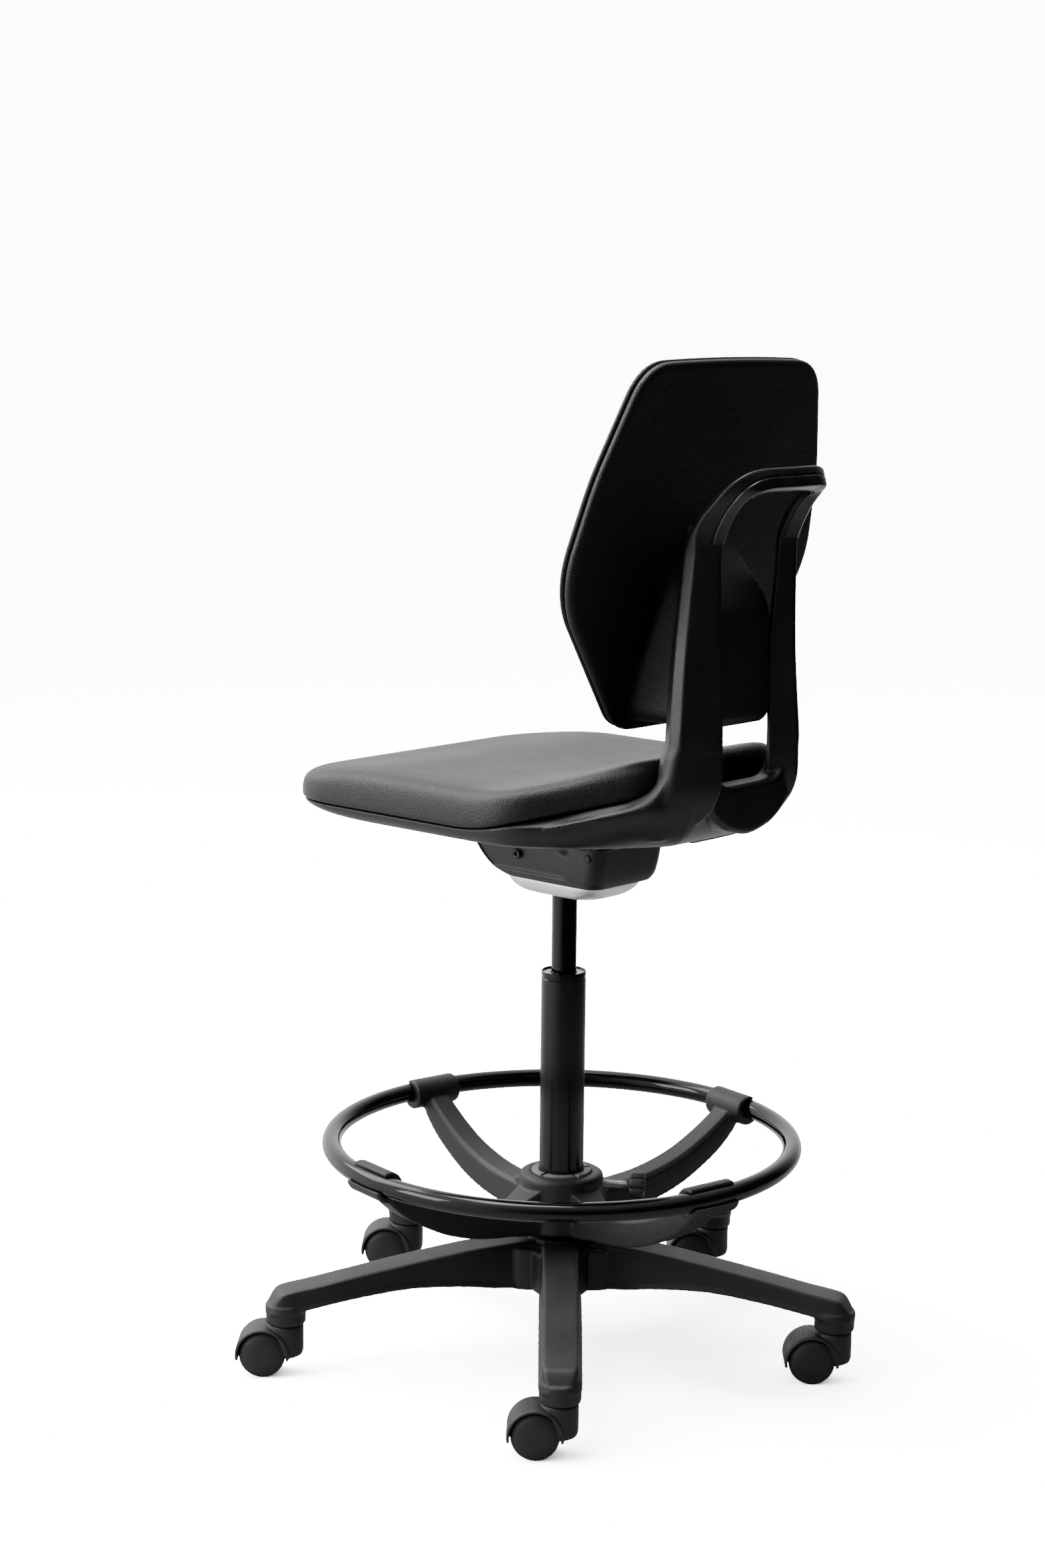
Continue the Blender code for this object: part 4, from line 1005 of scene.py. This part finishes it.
def hood(number):
    """Castor hood: an arched fender over both wheels, a web between them and the stem's housing."""
    start = math.asin((HOOD_BOTTOM - WHEEL_RADIUS) / HOOD_RADIUS)
    end = math.pi - start

    def arch(section, steps):
        """(across, radius) pairs swept over the wheels."""
        angles = [start + (end - start) * k / steps for k in range(steps + 1)]
        return [[(WHEEL_OFFSET + r * math.cos(t), a, WHEEL_RADIUS + r * math.sin(t)) for a, r in section]
                for t in angles]

    half = [(HOOD_HALF - 0.0024, HOOD_RADIUS), (HOOD_HALF - 0.0008, HOOD_RADIUS - 0.0005),
            (HOOD_HALF, HOOD_RADIUS - 0.0016), (HOOD_HALF, HOOD_INNER)]
    fender = loft(arch([(-a, r) for a, r in reversed(half)] + half, 56))
    web = loft([[ring[0] for ring in arch(((y, HOOD_WEB_RADIUS),), 48)] for y in (-0.0034, 0.0034)])
    stem = turned((
        (0.0, HOOD_BOTTOM + 0.0005), (HOUSING_RADIUS - 0.006, HOOD_BOTTOM + 0.0005),
        (HOUSING_RADIUS - 0.0015, HOOD_BOTTOM + 0.003), (HOUSING_RADIUS, HOOD_BOTTOM + 0.008),
        (HOUSING_RADIUS, HOOD_TOP - 0.0018), (HOUSING_RADIUS - 0.0015, HOOD_TOP), (0.0, HOOD_TOP)), 56)
    body = piece(f"hood_{number}", merged(fender, web, stem), CASTOR_PLASTIC, f"castor_{number}",
                 [f"castor_hood_{number}"], castor_place(number))
    fuse(body, 0.00075, 3, 0.10)
    return body


def wheel(number, side, label):
    """One domed castor wheel with a tread, a step round its face and a shallow middle."""
    profile = spline((
        (0.0, 0.02320), (0.0060, 0.02315), (0.0130, 0.02270), (0.0185, 0.02150), (0.0212, 0.02040),
        (0.0219, 0.01975), (0.0226, 0.01965), (0.0240, 0.01890), (0.0251, 0.01740), (0.0255, 0.01580),
        (0.0255, 0.01200), (0.0254, 0.00800), (0.0246, 0.00560), (0.0225, 0.00430)), 3)
    profile += [(0.0060, 0.00430), (0.0034, 0.00430), (0.0034, 0.01935), (0.0, 0.01935)]
    axle = Matrix.Translation((WHEEL_OFFSET, 0, WHEEL_RADIUS)) @ Matrix.Rotation(-side * math.pi / 2, 4, "X")
    return piece(f"wheel_{number}{label}_look", turned(profile, 64), CASTOR_PLASTIC, f"wheel_{number}{label}",
                 [f"castor_wheel_{number}{label}"], castor_place(number) @ axle)


# ---- column ----
TUBE_INNER = 0.0235
TUBE_TOP = 0.436
TUBE_BOTTOM = 0.068
BUSH_REACH = 0.0232
BUSH_FOOT = 0.352
LIFT_RADIUS = 0.0140
LIFT_TOP = 0.5620
LIFT_BOTTOM = 0.1950


def outer_tube():
    """Outer tube of the lift with its turned rim, its groove and a floor with a hole for the rod."""
    radius, inner, top, bottom = TUBE_RADIUS, TUBE_INNER, TUBE_TOP, TUBE_BOTTOM
    tube = turned((
        (inner, top - 0.0004), (inner + 0.0004, top), (radius - 0.0006, top), (radius - 0.0001, top - 0.0006),
        (radius, top - 0.0052), (radius - 0.0007, top - 0.0060), (radius - 0.0007, top - 0.0078),
        (radius, top - 0.0086), (radius, bottom + 0.03), (radius - 0.001, bottom), (0.0055, bottom),
        (0.0055, bottom + 0.004), (inner, bottom + 0.004)), 96, closed=True)
    return piece("tube", tube, SATIN_BLACK, "base", ["outer_tube"])


def guide_bush():
    """The lining between the two tubes, with a stepped rim."""
    top, foot, hole = TUBE_TOP, BUSH_FOOT, LIFT_RADIUS + CLEARANCE
    bush = turned((
        (BUSH_REACH, top - 0.0058), (BUSH_REACH, foot), (hole, foot), (hole, top - 0.0066),
        (0.0150, top - 0.0056), (0.0165, top - 0.0056), (0.0172, top - 0.0070), (0.0200, top - 0.0070),
        (0.0207, top - 0.0058)), 80, closed=True)
    return piece("bush", bush, CASTOR_PLASTIC, "base", ["guide_bush"])


def snap_ring():
    """Open retaining ring; its inner edge steps back beside the gap."""
    verts, faces = [], []
    steps, gap = 84, 3
    for k in range(steps - gap + 1):
        angle = 2 * math.pi * k / steps + 0.9
        inner = 0.0152 if 3 < k < steps - gap - 3 else 0.0172
        for r, below in ((inner, 0.0050), (BUSH_REACH, 0.0050), (BUSH_REACH, 0.0022), (inner, 0.0022)):
            verts.append((r * math.cos(angle), r * math.sin(angle), TUBE_TOP - below))
    for k in range(steps - gap):
        for i in range(4):
            j = (i + 1) % 4
            faces.append((4 * k + i, 4 * k + j, 4 * k + 4 + j, 4 * k + 4 + i))
    faces += [(0, 1, 2, 3), tuple(len(verts) - 4 + i for i in range(4))]
    return piece("snap_ring", (verts, faces), ZINC, "base", ["retaining_ring"])


def lift_tube():
    """Glossy inner tube with a tapered cone at the top and an inner bore."""
    top, bottom = LIFT_TOP, LIFT_BOTTOM
    tube = turned((
        (0.0120, top), (0.0137, top - 0.0030), (LIFT_RADIUS, top - 0.0060), (LIFT_RADIUS, bottom + 0.0002),
        (0.0053, bottom), (0.0053, bottom + 0.0100), (0.0115, bottom + 0.0100), (0.0115, top - 0.0100),
        (0.0043, top - 0.0100), (0.0043, top)), 80, closed=True)
    return piece("lift_tube", tube, GLOSS_BLACK, "lift", ["inner_column"])


# ---- foot ring ----
RING_RADIUS = 0.2577
RING_TUBE = 0.0106
RING_HEIGHT = 0.240
WELD_SWELL = 0.00018
WELD_ANGLE = 4.0
SPIDER_TURN = 79.4
SPIDER_ARMS = 4
SPIDER_RADIUS = 0.0475
SPIDER_BOTTOM = 0.140
SPIDER_TOP = 0.205
BUSH_RADIUS = 0.0335
# distance from the column, underside, top, half width at the top and at the foot
ARM_STATIONS = (
    (0.020, 0.1405, 0.1790, 0.0125, 0.0185), (0.050, 0.1415, 0.1790, 0.0125, 0.0185),
    (0.080, 0.1465, 0.1808, 0.0125, 0.0183), (0.110, 0.1500, 0.1832, 0.0125, 0.0180),
    (0.140, 0.1560, 0.1890, 0.0125, 0.0176), (0.170, 0.1660, 0.1985, 0.0122, 0.0170),
    (0.198, 0.1800, 0.2120, 0.0120, 0.0165), (0.222, 0.1950, 0.2265, 0.0118, 0.0160),
    (0.240, 0.2110, 0.2390, 0.0116, 0.0155), (0.250, 0.2230, 0.2450, 0.0112, 0.0150),
)
ARM_EDGE = 0.0050
# distance from the column, half width and top of the wedge at an arm's root
ARM_ROOT = (
    (0.030, 0.0210, 0.1935), (0.047, 0.0190, 0.1905), (0.066, 0.0140, 0.1815), (0.090, 0.0060, 0.1790),
)
SADDLE_RADIUS = 0.0172
SADDLE_HALF = 0.0298
SCREW_TURN = SPIDER_TURN + 45
SCREW_HEIGHT = 0.192
KNOB_NEAR = 0.074
KNOB_FAR = 0.094
KNOB_RADIUS = 0.0156
KNOB_LOBES = 7
KNOB_VALLEY = 0.0032
SPINDLE_START = 0.0260
SPINDLE_RADIUS = 0.0040
THREAD_PITCH = 0.00125
THREAD_DEPTH = 0.0006
THREAD_STEPS = 24


def foot_ring():
    """Lacquered tube ring, with the faint step of its weld on the hidden inner side."""
    def tube(angle):
        return RING_TUBE + WELD_SWELL * math.exp(-((angle - WELD_ANGLE) / 0.012) ** 2)

    ring = hoop(RING_RADIUS, RING_HEIGHT, tube, 288, 28)
    return piece("ring", ring, GLOSS_BLACK, "foot_rest", ["foot_ring"], angle=0)


def spider_arm():
    """A curved arm with a raised flat top."""
    rings = []
    for r, low, high, top_half, low_half in spline(ARM_STATIONS, 6):
        half = ((low_half, low), (low_half + 0.0004, low + 0.45 * (high - low)),
                (low_half - 0.0006, high - ARM_EDGE), (top_half, high))
        rings.append([(r, a, b) for a, b in half] + [(r, -a, b) for a, b in reversed(half)])
    return loft(rings)


def arm_root():
    """The wedge that stiffens an arm where it leaves the hub."""
    return loft([[(r, a, b) for a, b in ((-half, 0.150), (half, 0.150), (half, top), (-half, top))]
                 for r, half, top in ARM_ROOT])


def saddle():
    """The round block at an arm's end that the ring lies in."""
    rings = []
    for y, scale in ((-SADDLE_HALF, 0.93), (-SADDLE_HALF + 0.0012, 1.0), (SADDLE_HALF - 0.0012, 1.0),
                     (SADDLE_HALF, 0.93)):
        reach = RING_RADIUS - 0.003 - y * y / (2 * RING_RADIUS)
        around = circle(scale * SADDLE_RADIUS, 48)
        rings.append([(reach + a, y, RING_HEIGHT - 0.002 + b) for a, b in around])
    return loft(rings)


def spider():
    """Hub, four arms and the hooked saddles that carry the ring, in one moulding."""
    hub = turned((
        (BUSH_RADIUS - 0.004, SPIDER_BOTTOM + 0.001), (SPIDER_RADIUS - 0.003, SPIDER_BOTTOM),
        (SPIDER_RADIUS - 0.0005, SPIDER_BOTTOM + 0.0025), (SPIDER_RADIUS, SPIDER_TOP - 0.0060),
        (SPIDER_RADIUS - 0.0012, SPIDER_TOP - 0.0020), (SPIDER_RADIUS - 0.0045, SPIDER_TOP),
        (BUSH_RADIUS - 0.004, SPIDER_TOP)), 96, closed=True)
    mouth = loft([[(x, a, b) for a, b in ((-0.05, 0.2345), (0.05, 0.2345), (0.05, 0.275), (-0.05, 0.275))]
                  for x in (RING_RADIUS + 0.0015, RING_RADIUS + 0.05)])
    parts, mouths = [hub], []
    for i in range(SPIDER_ARMS):
        place = turn_z(SPIDER_TURN + i * 360 / SPIDER_ARMS)
        parts += [moved(part, place) for part in (spider_arm(), arm_root(), saddle())]
        mouths.append(moved(mouth, place))
    body = piece("ring_hub", merged(*parts), BASE_PLASTIC, "foot_rest", ["ring_spider"])
    fuse(body, 0.00135, 3, 0.28)
    carve(body, hoop(RING_RADIUS, RING_HEIGHT, lambda angle: RING_TUBE + 0.0005, 192, 24))
    carve(body, merged(rod(BUSH_RADIUS + CLEARANCE, 0.1, 0.3, 96), *mouths))
    carve(body, screw_hole())
    return body


def screw_hole():
    across = Matrix.Translation((0, 0, SCREW_HEIGHT)) @ Matrix.Rotation(math.pi / 2, 4, "Y")
    return moved(rod(0.0043, 0.02, 0.06), turn_z(SCREW_TURN) @ across)


def collar_bush():
    """Grey bush between hub and tube, with five pairs of notches in its rim."""
    steps = 120
    low, high = SPIDER_BOTTOM + 0.002, SPIDER_TOP + 0.0022
    rings = []
    for k in range(steps):
        angle = 2 * math.pi * k / steps
        notch = 0.0026 if k % 24 in (0, 1) else 0.0
        rim = high - notch
        rings.append([(r * math.cos(angle), r * math.sin(angle), z) for r, z in (
            (0.0253, low), (BUSH_RADIUS, low), (BUSH_RADIUS, rim - 0.0006), (BUSH_RADIUS - 0.0006, rim),
            (0.0259, rim), (0.0253, rim - 0.0006))])
    bush = piece("collar_bush", loft(rings, closed_path=True), BUSH_GREY, "foot_rest",
                 ["ring_bush"])
    carve(bush, screw_hole())
    return bush


def lobed(scale):
    """The knob's radius at an angle: lobes on its rim, round nearer the middle."""
    valley = KNOB_VALLEY if scale > 0.8 else 0.0

    def radius(_, angle):
        wave = abs(math.cos(KNOB_LOBES * angle / 2)) ** 0.6
        return max(scale, 0.002) * (KNOB_RADIUS - valley * (1 - wave))
    return radius


def threaded(run):
    """The spindle's radius at a step round it, this far along the thread."""
    def radius(step, _):
        phase = (run / THREAD_PITCH - step / THREAD_STEPS) % 1.0
        return SPINDLE_RADIUS - THREAD_DEPTH * abs(2 * phase - 1)
    return radius


def clamp_screw():
    """Lobed knob with a dished face, and its threaded spindle."""
    place = turn_z(SCREW_TURN) @ Matrix.Translation((0, 0, SCREW_HEIGHT))
    near, far = KNOB_NEAR, KNOB_FAR
    rings = [polar(x, lobed(scale), KNOB_LOBES * 16) for x, scale in (
        (near, 0.0), (near, 0.52), (near + 0.0035, 0.58), (near + 0.0040, 0.86), (near + 0.0050, 0.95),
        (near + 0.0068, 1.0), (far - 0.0030, 1.0), (far - 0.0010, 0.965), (far, 0.90),
        (far - 0.0002, 0.62), (far - 0.0016, 0.54), (far - 0.0016, 0.0))]
    piece("knob", loft(rings), CASTOR_PLASTIC, "ring_screw", ["screw_knob"], place)
    length = near + 0.0002 - SPINDLE_START
    count = int(length / THREAD_PITCH * 12)
    runs = [length * k / count for k in range(count + 1)]
    rings = [polar(SPINDLE_START + run, threaded(run), THREAD_STEPS) for run in runs]
    piece("spindle", loft(rings), ZINC, "ring_screw", ["screw_spindle"], place,
          angle=math.radians(60))


# ---- tilt housing ----
HOUSING_TOP = 0.5898
HOUSING_LOW = 0.5450
PIVOT_Y = -0.021
PIVOT_Z = 0.572
LOCK_Y = 0.083
LOCK_Z = 0.581
DIMPLE_REACH = 0.0538    # where the countersink for a cover screw begins
SCREW_REACH = 0.0526
WALL = 0.0075
END_WALL = 0.0030
SCOOP_DEPTH = 0.0042
POCKET_DEPTH = 0.0036
# height, half width, front, rear, corner radius of the housing's outer wall
HOUSING_STATIONS = (
    (HOUSING_LOW, 0.0500, -0.0505, 0.0862, 0.0180), (HOUSING_LOW + 0.0014, 0.0512, -0.0530, 0.0882, 0.0180),
    (0.5530, 0.0556, -0.0650, 0.0910, 0.0180), (0.5640, 0.0575, -0.0780, 0.0935, 0.0180),
    (0.5780, 0.0582, -0.0900, 0.0960, 0.0180), (HOUSING_TOP, 0.0582, -0.0985, 0.0980, 0.0180),
)


def side_place(side, reach):
    """The frame of a screw in the housing's side, with Z pointing outward."""
    return Matrix.Translation((side * reach, PIVOT_Y, PIVOT_Z)) @ Matrix.Rotation(side * math.pi / 2, 4, "Y")


def housing_dent(y, z, side):
    """How far the side wall is pressed in: a sloping scoop round the pivot and a small one at the rear."""
    edge = 0.012 + (HOUSING_TOP - z) * 0.95
    scoop = SCOOP_DEPTH * smoothstep(edge + 0.006, edge - 0.004, y)
    scoop *= smoothstep(HOUSING_LOW + 0.004, HOUSING_LOW + 0.012, z)
    pocket = POCKET_DEPTH * math.exp(-(((y - 0.048) / 0.010) ** 2 + ((z - 0.5880) / 0.0065) ** 2))
    return (scoop + pocket) * side


def housing():
    """Moulded cover of the tilt mechanism, with pressed sides and holes for screws and levers."""
    per_side = 360
    rings = []
    for z, half, front, rear, corner in spline(HOUSING_STATIONS, 8):
        ring = []
        for x, y, _ in box_ring(z, half, front, rear, corner, per_side):
            side = smoothstep(half - 0.0025, half - 0.0003, abs(x))
            ring.append((x - math.copysign(housing_dent(y, z, side), x), y, z))
        rings.append(ring)
    inner = []
    for z, half, front, rear, corner in reversed(spline(HOUSING_STATIONS, 2)):
        inner.append(box_ring(z, half - WALL, front + END_WALL, rear - END_WALL, corner, per_side))
    body = piece("housing", loft(rings + inner, closed_path=True), POLYAMIDE, "lift",
                 ["mechanism_housing"])
    for side in (1, -1):
        place = side_place(side, DIMPLE_REACH)
        carve(body, moved(rod(0.0062, -0.0002, 0.02, 40), place))
        carve(body, moved(rod(0.0028, -0.02, 0.001), place))
    across = Matrix.Translation((0, LOCK_Y, LOCK_Z)) @ Matrix.Rotation(math.pi / 2, 4, "Y")
    carve(body, moved(rod(0.0043, -0.07, 0.07), across))
    slot = [[(x, a, 0.5775 + b) for a, b in rounded(0.007, 0.010, 0.003, 3)] for x in (-0.07, -0.045)]
    carve(body, loft(slot))
    return body


def cover_screws():
    """Hexagon-socket screws, countersunk into the housing's sides."""
    for side, label in ((1, "left"), (-1, "right")):
        rings = []
        around = 36
        for radius, z, hexagon in (
                (0.0024, 0.0, 0), (0.0024, 0.0022, 0), (0.0053, 0.0022, 0), (0.0055, 0.0026, 0),
                (0.0055, 0.0048, 0), (0.0050, 0.0054, 0), (0.0033, 0.0054, 0), (0.0028, 0.0051, 1),
                (0.0026, 0.0028, 1), (0.0004, 0.0024, 1)):
            ring = []
            for k in range(around):
                angle = 2 * math.pi * k / around
                flat = math.cos(math.pi / 6) / math.cos((angle % (math.pi / 3)) - math.pi / 6)
                reach = radius * (flat if hexagon else 1.0)
                ring.append((reach * math.cos(angle), reach * math.sin(angle), z))
            rings.append(ring)
        piece(f"socket_screw_{label}", loft(rings), SATIN_BLACK, "lift",
              [f"cover_screw_{label}"], side_place(side, SCREW_REACH))


def lower_plate():
    """Cast dish under the housing: flat middle, a bowl-shaped flank and an open top."""
    top = HOUSING_LOW - 0.0003
    outer = ((0.5262, 0.0120, -0.0130, 0.0420, 0.0110), (0.5262, 0.0260, -0.0260, 0.0540, 0.0240),
             (0.5272, 0.0330, -0.0330, 0.0610, 0.0270), (0.5300, 0.0400, -0.0405, 0.0685, 0.0280),
             (0.5345, 0.0450, -0.0455, 0.0738, 0.0265), (0.5395, 0.0480, -0.0482, 0.0768, 0.0245),
             (0.5425, 0.0489, -0.0490, 0.0778, 0.0230), (top - 0.0006, 0.0490, -0.0490, 0.0780, 0.0225),
             (top, 0.0486, -0.0486, 0.0776, 0.0220))
    inner = ((top, 0.0440, -0.0440, 0.0730, 0.0200), (0.5400, 0.0425, -0.0425, 0.0710, 0.0200),
             (0.5340, 0.0360, -0.0360, 0.0640, 0.0200), (0.5322, 0.0250, -0.0250, 0.0530, 0.0200))
    rings = []
    for z, half, front, rear, corner in spline(outer, 4) + list(inner):
        rings.append(box_ring(z, half, front, rear, corner, 160))
    body = piece("dish", loft(rings), PALE_METAL, "lift", ["lower_plate"])
    carve(body, rod(0.0147, 0.5, 0.6, 64))
    return body


# ---- levers ----
SQUARENESS = 0.72
THUMB_DIP = 0.0014


def paddle(name, body, node, root, slope):
    """Flat finger paddle with a thumb dip, on the outer end of a lever rod."""
    stations = spline((
        (0.0000, 0.0052, 0.0052), (-0.0020, 0.0064, 0.0064), (-0.0200, 0.0074, 0.0064),
        (-0.0330, 0.0102, 0.0058), (-0.0450, 0.0128, 0.0050), (-0.0580, 0.0138, 0.0045),
        (-0.0700, 0.0132, 0.0040), (-0.0760, 0.0106, 0.0034), (-0.0778, 0.0060, 0.0020)), 6)
    rings = []
    for x, half_y, half_z in stations:
        ring = []
        for k in range(40):
            angle = 2 * math.pi * k / 40
            a = half_y * math.copysign(abs(math.cos(angle)) ** SQUARENESS, math.cos(angle))
            b = half_z * math.copysign(abs(math.sin(angle)) ** SQUARENESS, math.sin(angle))
            if b > 0:
                b -= THUMB_DIP * math.exp(-((x + 0.056) / 0.013) ** 2) * math.exp(-(a / 0.009) ** 2)
            ring.append((x, a, b + slope * max(-x - 0.03, 0.0)))
        rings.append(ring)
    return piece(name, loft(rings), CASTOR_PLASTIC, body, [node], Matrix.Translation(root))


# ---- tilt spring ----
SPRING_TURNS = 6.5
SPRING_WIRE = 0.0016


def tilt_spring():
    """Coil spring with closed ends."""
    low, high = chair_box("tilt_spring")
    centre = (low + high) / 2
    coil = (high.x - low.x) / 2 - SPRING_WIRE
    rings = []
    for k in range(261):
        share = k / 260
        angle = 2 * math.pi * SPRING_TURNS * share
        climb = 0.35 * share + 0.65 * smoothstep(0.04, 0.96, share)
        level = low.z + SPRING_WIRE + (high.z - low.z - 2 * SPRING_WIRE) * climb
        outward = Vector((math.cos(angle), math.sin(angle), 0))
        middle_line = Vector((centre.x, centre.y, level)) + outward * coil
        rings.append([middle_line + outward * a + Vector((0, 0, b)) for a, b in circle(SPRING_WIRE, 10)])
    spring = piece("spring", loft(rings), ZINC, "lift", ["tilt_spring"], angle=0)
    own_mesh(spring)
    return spring


# ---- stage ----
BRIGHT_WAY = (0.174, -0.985, 0.0)    # level direction to the bright side of the studio
DARK_SIDE = 0.03
BRIGHT_SIDE = 1.9
OVERHEAD = 0.9
BACKDROP = 12.0          # the white sweep as it is seen, not as it lights
FLOOR_WHITE = 9.2
FLOOR_NEAR = 0.8
FLOOR_FAR = 2.2
FLOOR_HALF = 9.0
AIM_HEIGHT = 0.55
# name, place in chair axes, size, power
LIGHTS = (
    ("key", (0.7, -2.7, 2.6), 2.0, 90), ("top", (0.5, -0.4, 3.2), 1.5, 95),
    ("side", (2.7, -1.35, 1.5), 1.3, 62),
)
SENSOR = 36
LENS = 66.128
LENS_SHIFT = 0.002716
# the camera in chair axes: its place, and the ways that its right and its top point
CAMERA_PLACE = Vector((2.33562, 2.06639, 1.18496))
CAMERA_RIGHT = Vector((-0.675258, 0.737517, 0.009714))
CAMERA_UP = Vector((-0.120449, -0.123254, 0.985038))


def seen_directly(tree):
    """1 for what is looked at, 0 for what only lights the chair: a white sweep that casts no glare."""
    return tree.nodes.new("ShaderNodeLightPath").outputs["Is Camera Ray"]


def studio_floor():
    """White to the camera, grey to the chair."""
    m = Nodes("studio_floor", (0.32, 0.32, 0.32), 0.55)
    slow = m.noise(1.2, 2.0)
    m.color(m.mix(m.between(slow, 0.35, 0.65, 0.0, 1.0), (0.31, 0.31, 0.31), (0.34, 0.34, 0.34)))
    pale = m.node("ShaderNodeBsdfDiffuse", Color=(FLOOR_WHITE, FLOOR_WHITE, FLOOR_WHITE, 1))
    # for light the floor ends a little way off, and the sweep beyond it takes over
    place = m.tree.nodes.new("ShaderNodeNewGeometry").outputs["Position"]
    reach = m.node("ShaderNodeVectorMath", Vector=place)
    reach.operation = "LENGTH"
    near = m.tree.nodes.new("ShaderNodeMixShader")
    m.tree.links.new(m.between(reach.outputs["Value"], FLOOR_NEAR, FLOOR_FAR, 0.0, 1.0), near.inputs[0])
    m.tree.links.new(m.shader.outputs[0], near.inputs[1])
    m.tree.links.new(m.tree.nodes.new("ShaderNodeBsdfTransparent").outputs[0], near.inputs[2])
    both = m.tree.nodes.new("ShaderNodeMixShader")
    m.tree.links.new(seen_directly(m.tree), both.inputs[0])
    m.tree.links.new(near.outputs[0], both.inputs[1])
    m.tree.links.new(pale.outputs[0], both.inputs[2])
    m.tree.links.new(both.outputs[0], m.tree.nodes["Material Output"].inputs["Surface"])
    mesh = bpy.data.meshes.new("studio_floor")
    corners = [(a * FLOOR_HALF, b * FLOOR_HALF, 0) for a, b in ((-1, -1), (1, -1), (1, 1), (-1, 1))]
    mesh.from_pydata(corners, [], [(0, 1, 2, 3)])
    floor = bpy.data.objects.new("studio_floor", mesh)
    floor.data.materials.append(m.material)
    bpy.context.scene.collection.objects.link(floor)


def studio_world():
    """A soft light that is bright on one side and overhead, in front of a white backdrop."""
    world = bpy.data.worlds.new("studio")
    bpy.context.scene.world = world
    world.use_nodes = True
    tree = world.node_tree
    background = tree.nodes["Background"]
    background.inputs["Color"].default_value = (1, 1, 1, 1)
    direction = tree.nodes.new("ShaderNodeTexCoord").outputs["Generated"]
    levels = []
    for toward, start, end, low, high in (
            (BRIGHT_WAY, -0.45, 0.60, DARK_SIDE, BRIGHT_SIDE), ((0, 0, 1), 0.45, 0.95, 0.0, OVERHEAD)):
        across = tree.nodes.new("ShaderNodeVectorMath")
        across.operation = "DOT_PRODUCT"
        across.inputs[1].default_value = toward
        tree.links.new(direction, across.inputs[0])
        fade = tree.nodes.new("ShaderNodeMapRange")
        fade.interpolation_type = "SMOOTHSTEP"
        for key, value in (("From Min", start), ("From Max", end), ("To Min", low), ("To Max", high)):
            fade.inputs[key].default_value = value
        tree.links.new(across.outputs["Value"], fade.inputs["Value"])
        levels.append(fade.outputs[0])
    total = tree.nodes.new("ShaderNodeMath")
    tree.links.new(levels[0], total.inputs[0])
    tree.links.new(levels[1], total.inputs[1])
    strength = tree.nodes.new("ShaderNodeMix")
    tree.links.new(seen_directly(tree), strength.inputs[0])
    tree.links.new(total.outputs[0], strength.inputs[2])
    strength.inputs[3].default_value = BACKDROP
    tree.links.new(strength.outputs[0], background.inputs["Strength"])


def lights():
    """Soft boxes that look at the chair's middle."""
    for name, place, size, power in LIGHTS:
        light = bpy.data.lights.new(name, "AREA")
        light.size = size
        light.energy = power
        obj = bpy.data.objects.new(name, light)
        obj.location = Vector(place) + AXIS
        aim = Vector((0, 0, AIM_HEIGHT)) + AXIS - obj.location
        obj.rotation_euler = aim.to_track_quat("-Z", "Y").to_euler()
        bpy.context.scene.collection.objects.link(obj)


def camera():
    """The view of the photograph, from the chair's rear left."""
    data = bpy.data.cameras.new("camera")
    data.sensor_fit = "VERTICAL"
    data.sensor_height = SENSOR
    data.lens = LENS
    data.shift_y = LENS_SHIFT
    viewer = bpy.data.objects.new("camera", data)
    bpy.context.scene.collection.objects.link(viewer)
    back = CAMERA_RIGHT.cross(CAMERA_UP)
    turn = Matrix((CAMERA_RIGHT, CAMERA_UP, back)).transposed().to_4x4()
    viewer.matrix_world = Matrix.Translation(AXIS + CAMERA_PLACE) @ turn
    bpy.context.scene.camera = viewer


finish_cad_nodes()
seat_pad()
bracket()
grip()
back_panel()
back_pad()
backrest_slider()
tilt_spring()
base()
for number in range(1, LEG_COUNT + 1):
    hood(number)
    wheel(number, 1, "a")
    wheel(number, -1, "b")
outer_tube()
guide_bush()
snap_ring()
lift_tube()
foot_ring()
spider()
collar_bush()
clamp_screw()
housing()
cover_screws()
lower_plate()
paddle("lift_paddle", "height_lever", "height_paddle", Vector((-0.128, 0, 0.5745)), -0.10)
paddle("lock_paddle", "tilt_lock", "tilt_lock_paddle", Vector((-0.116, LOCK_Y, LOCK_Z)), 0.0)
studio_floor()
studio_world()
lights()
camera()
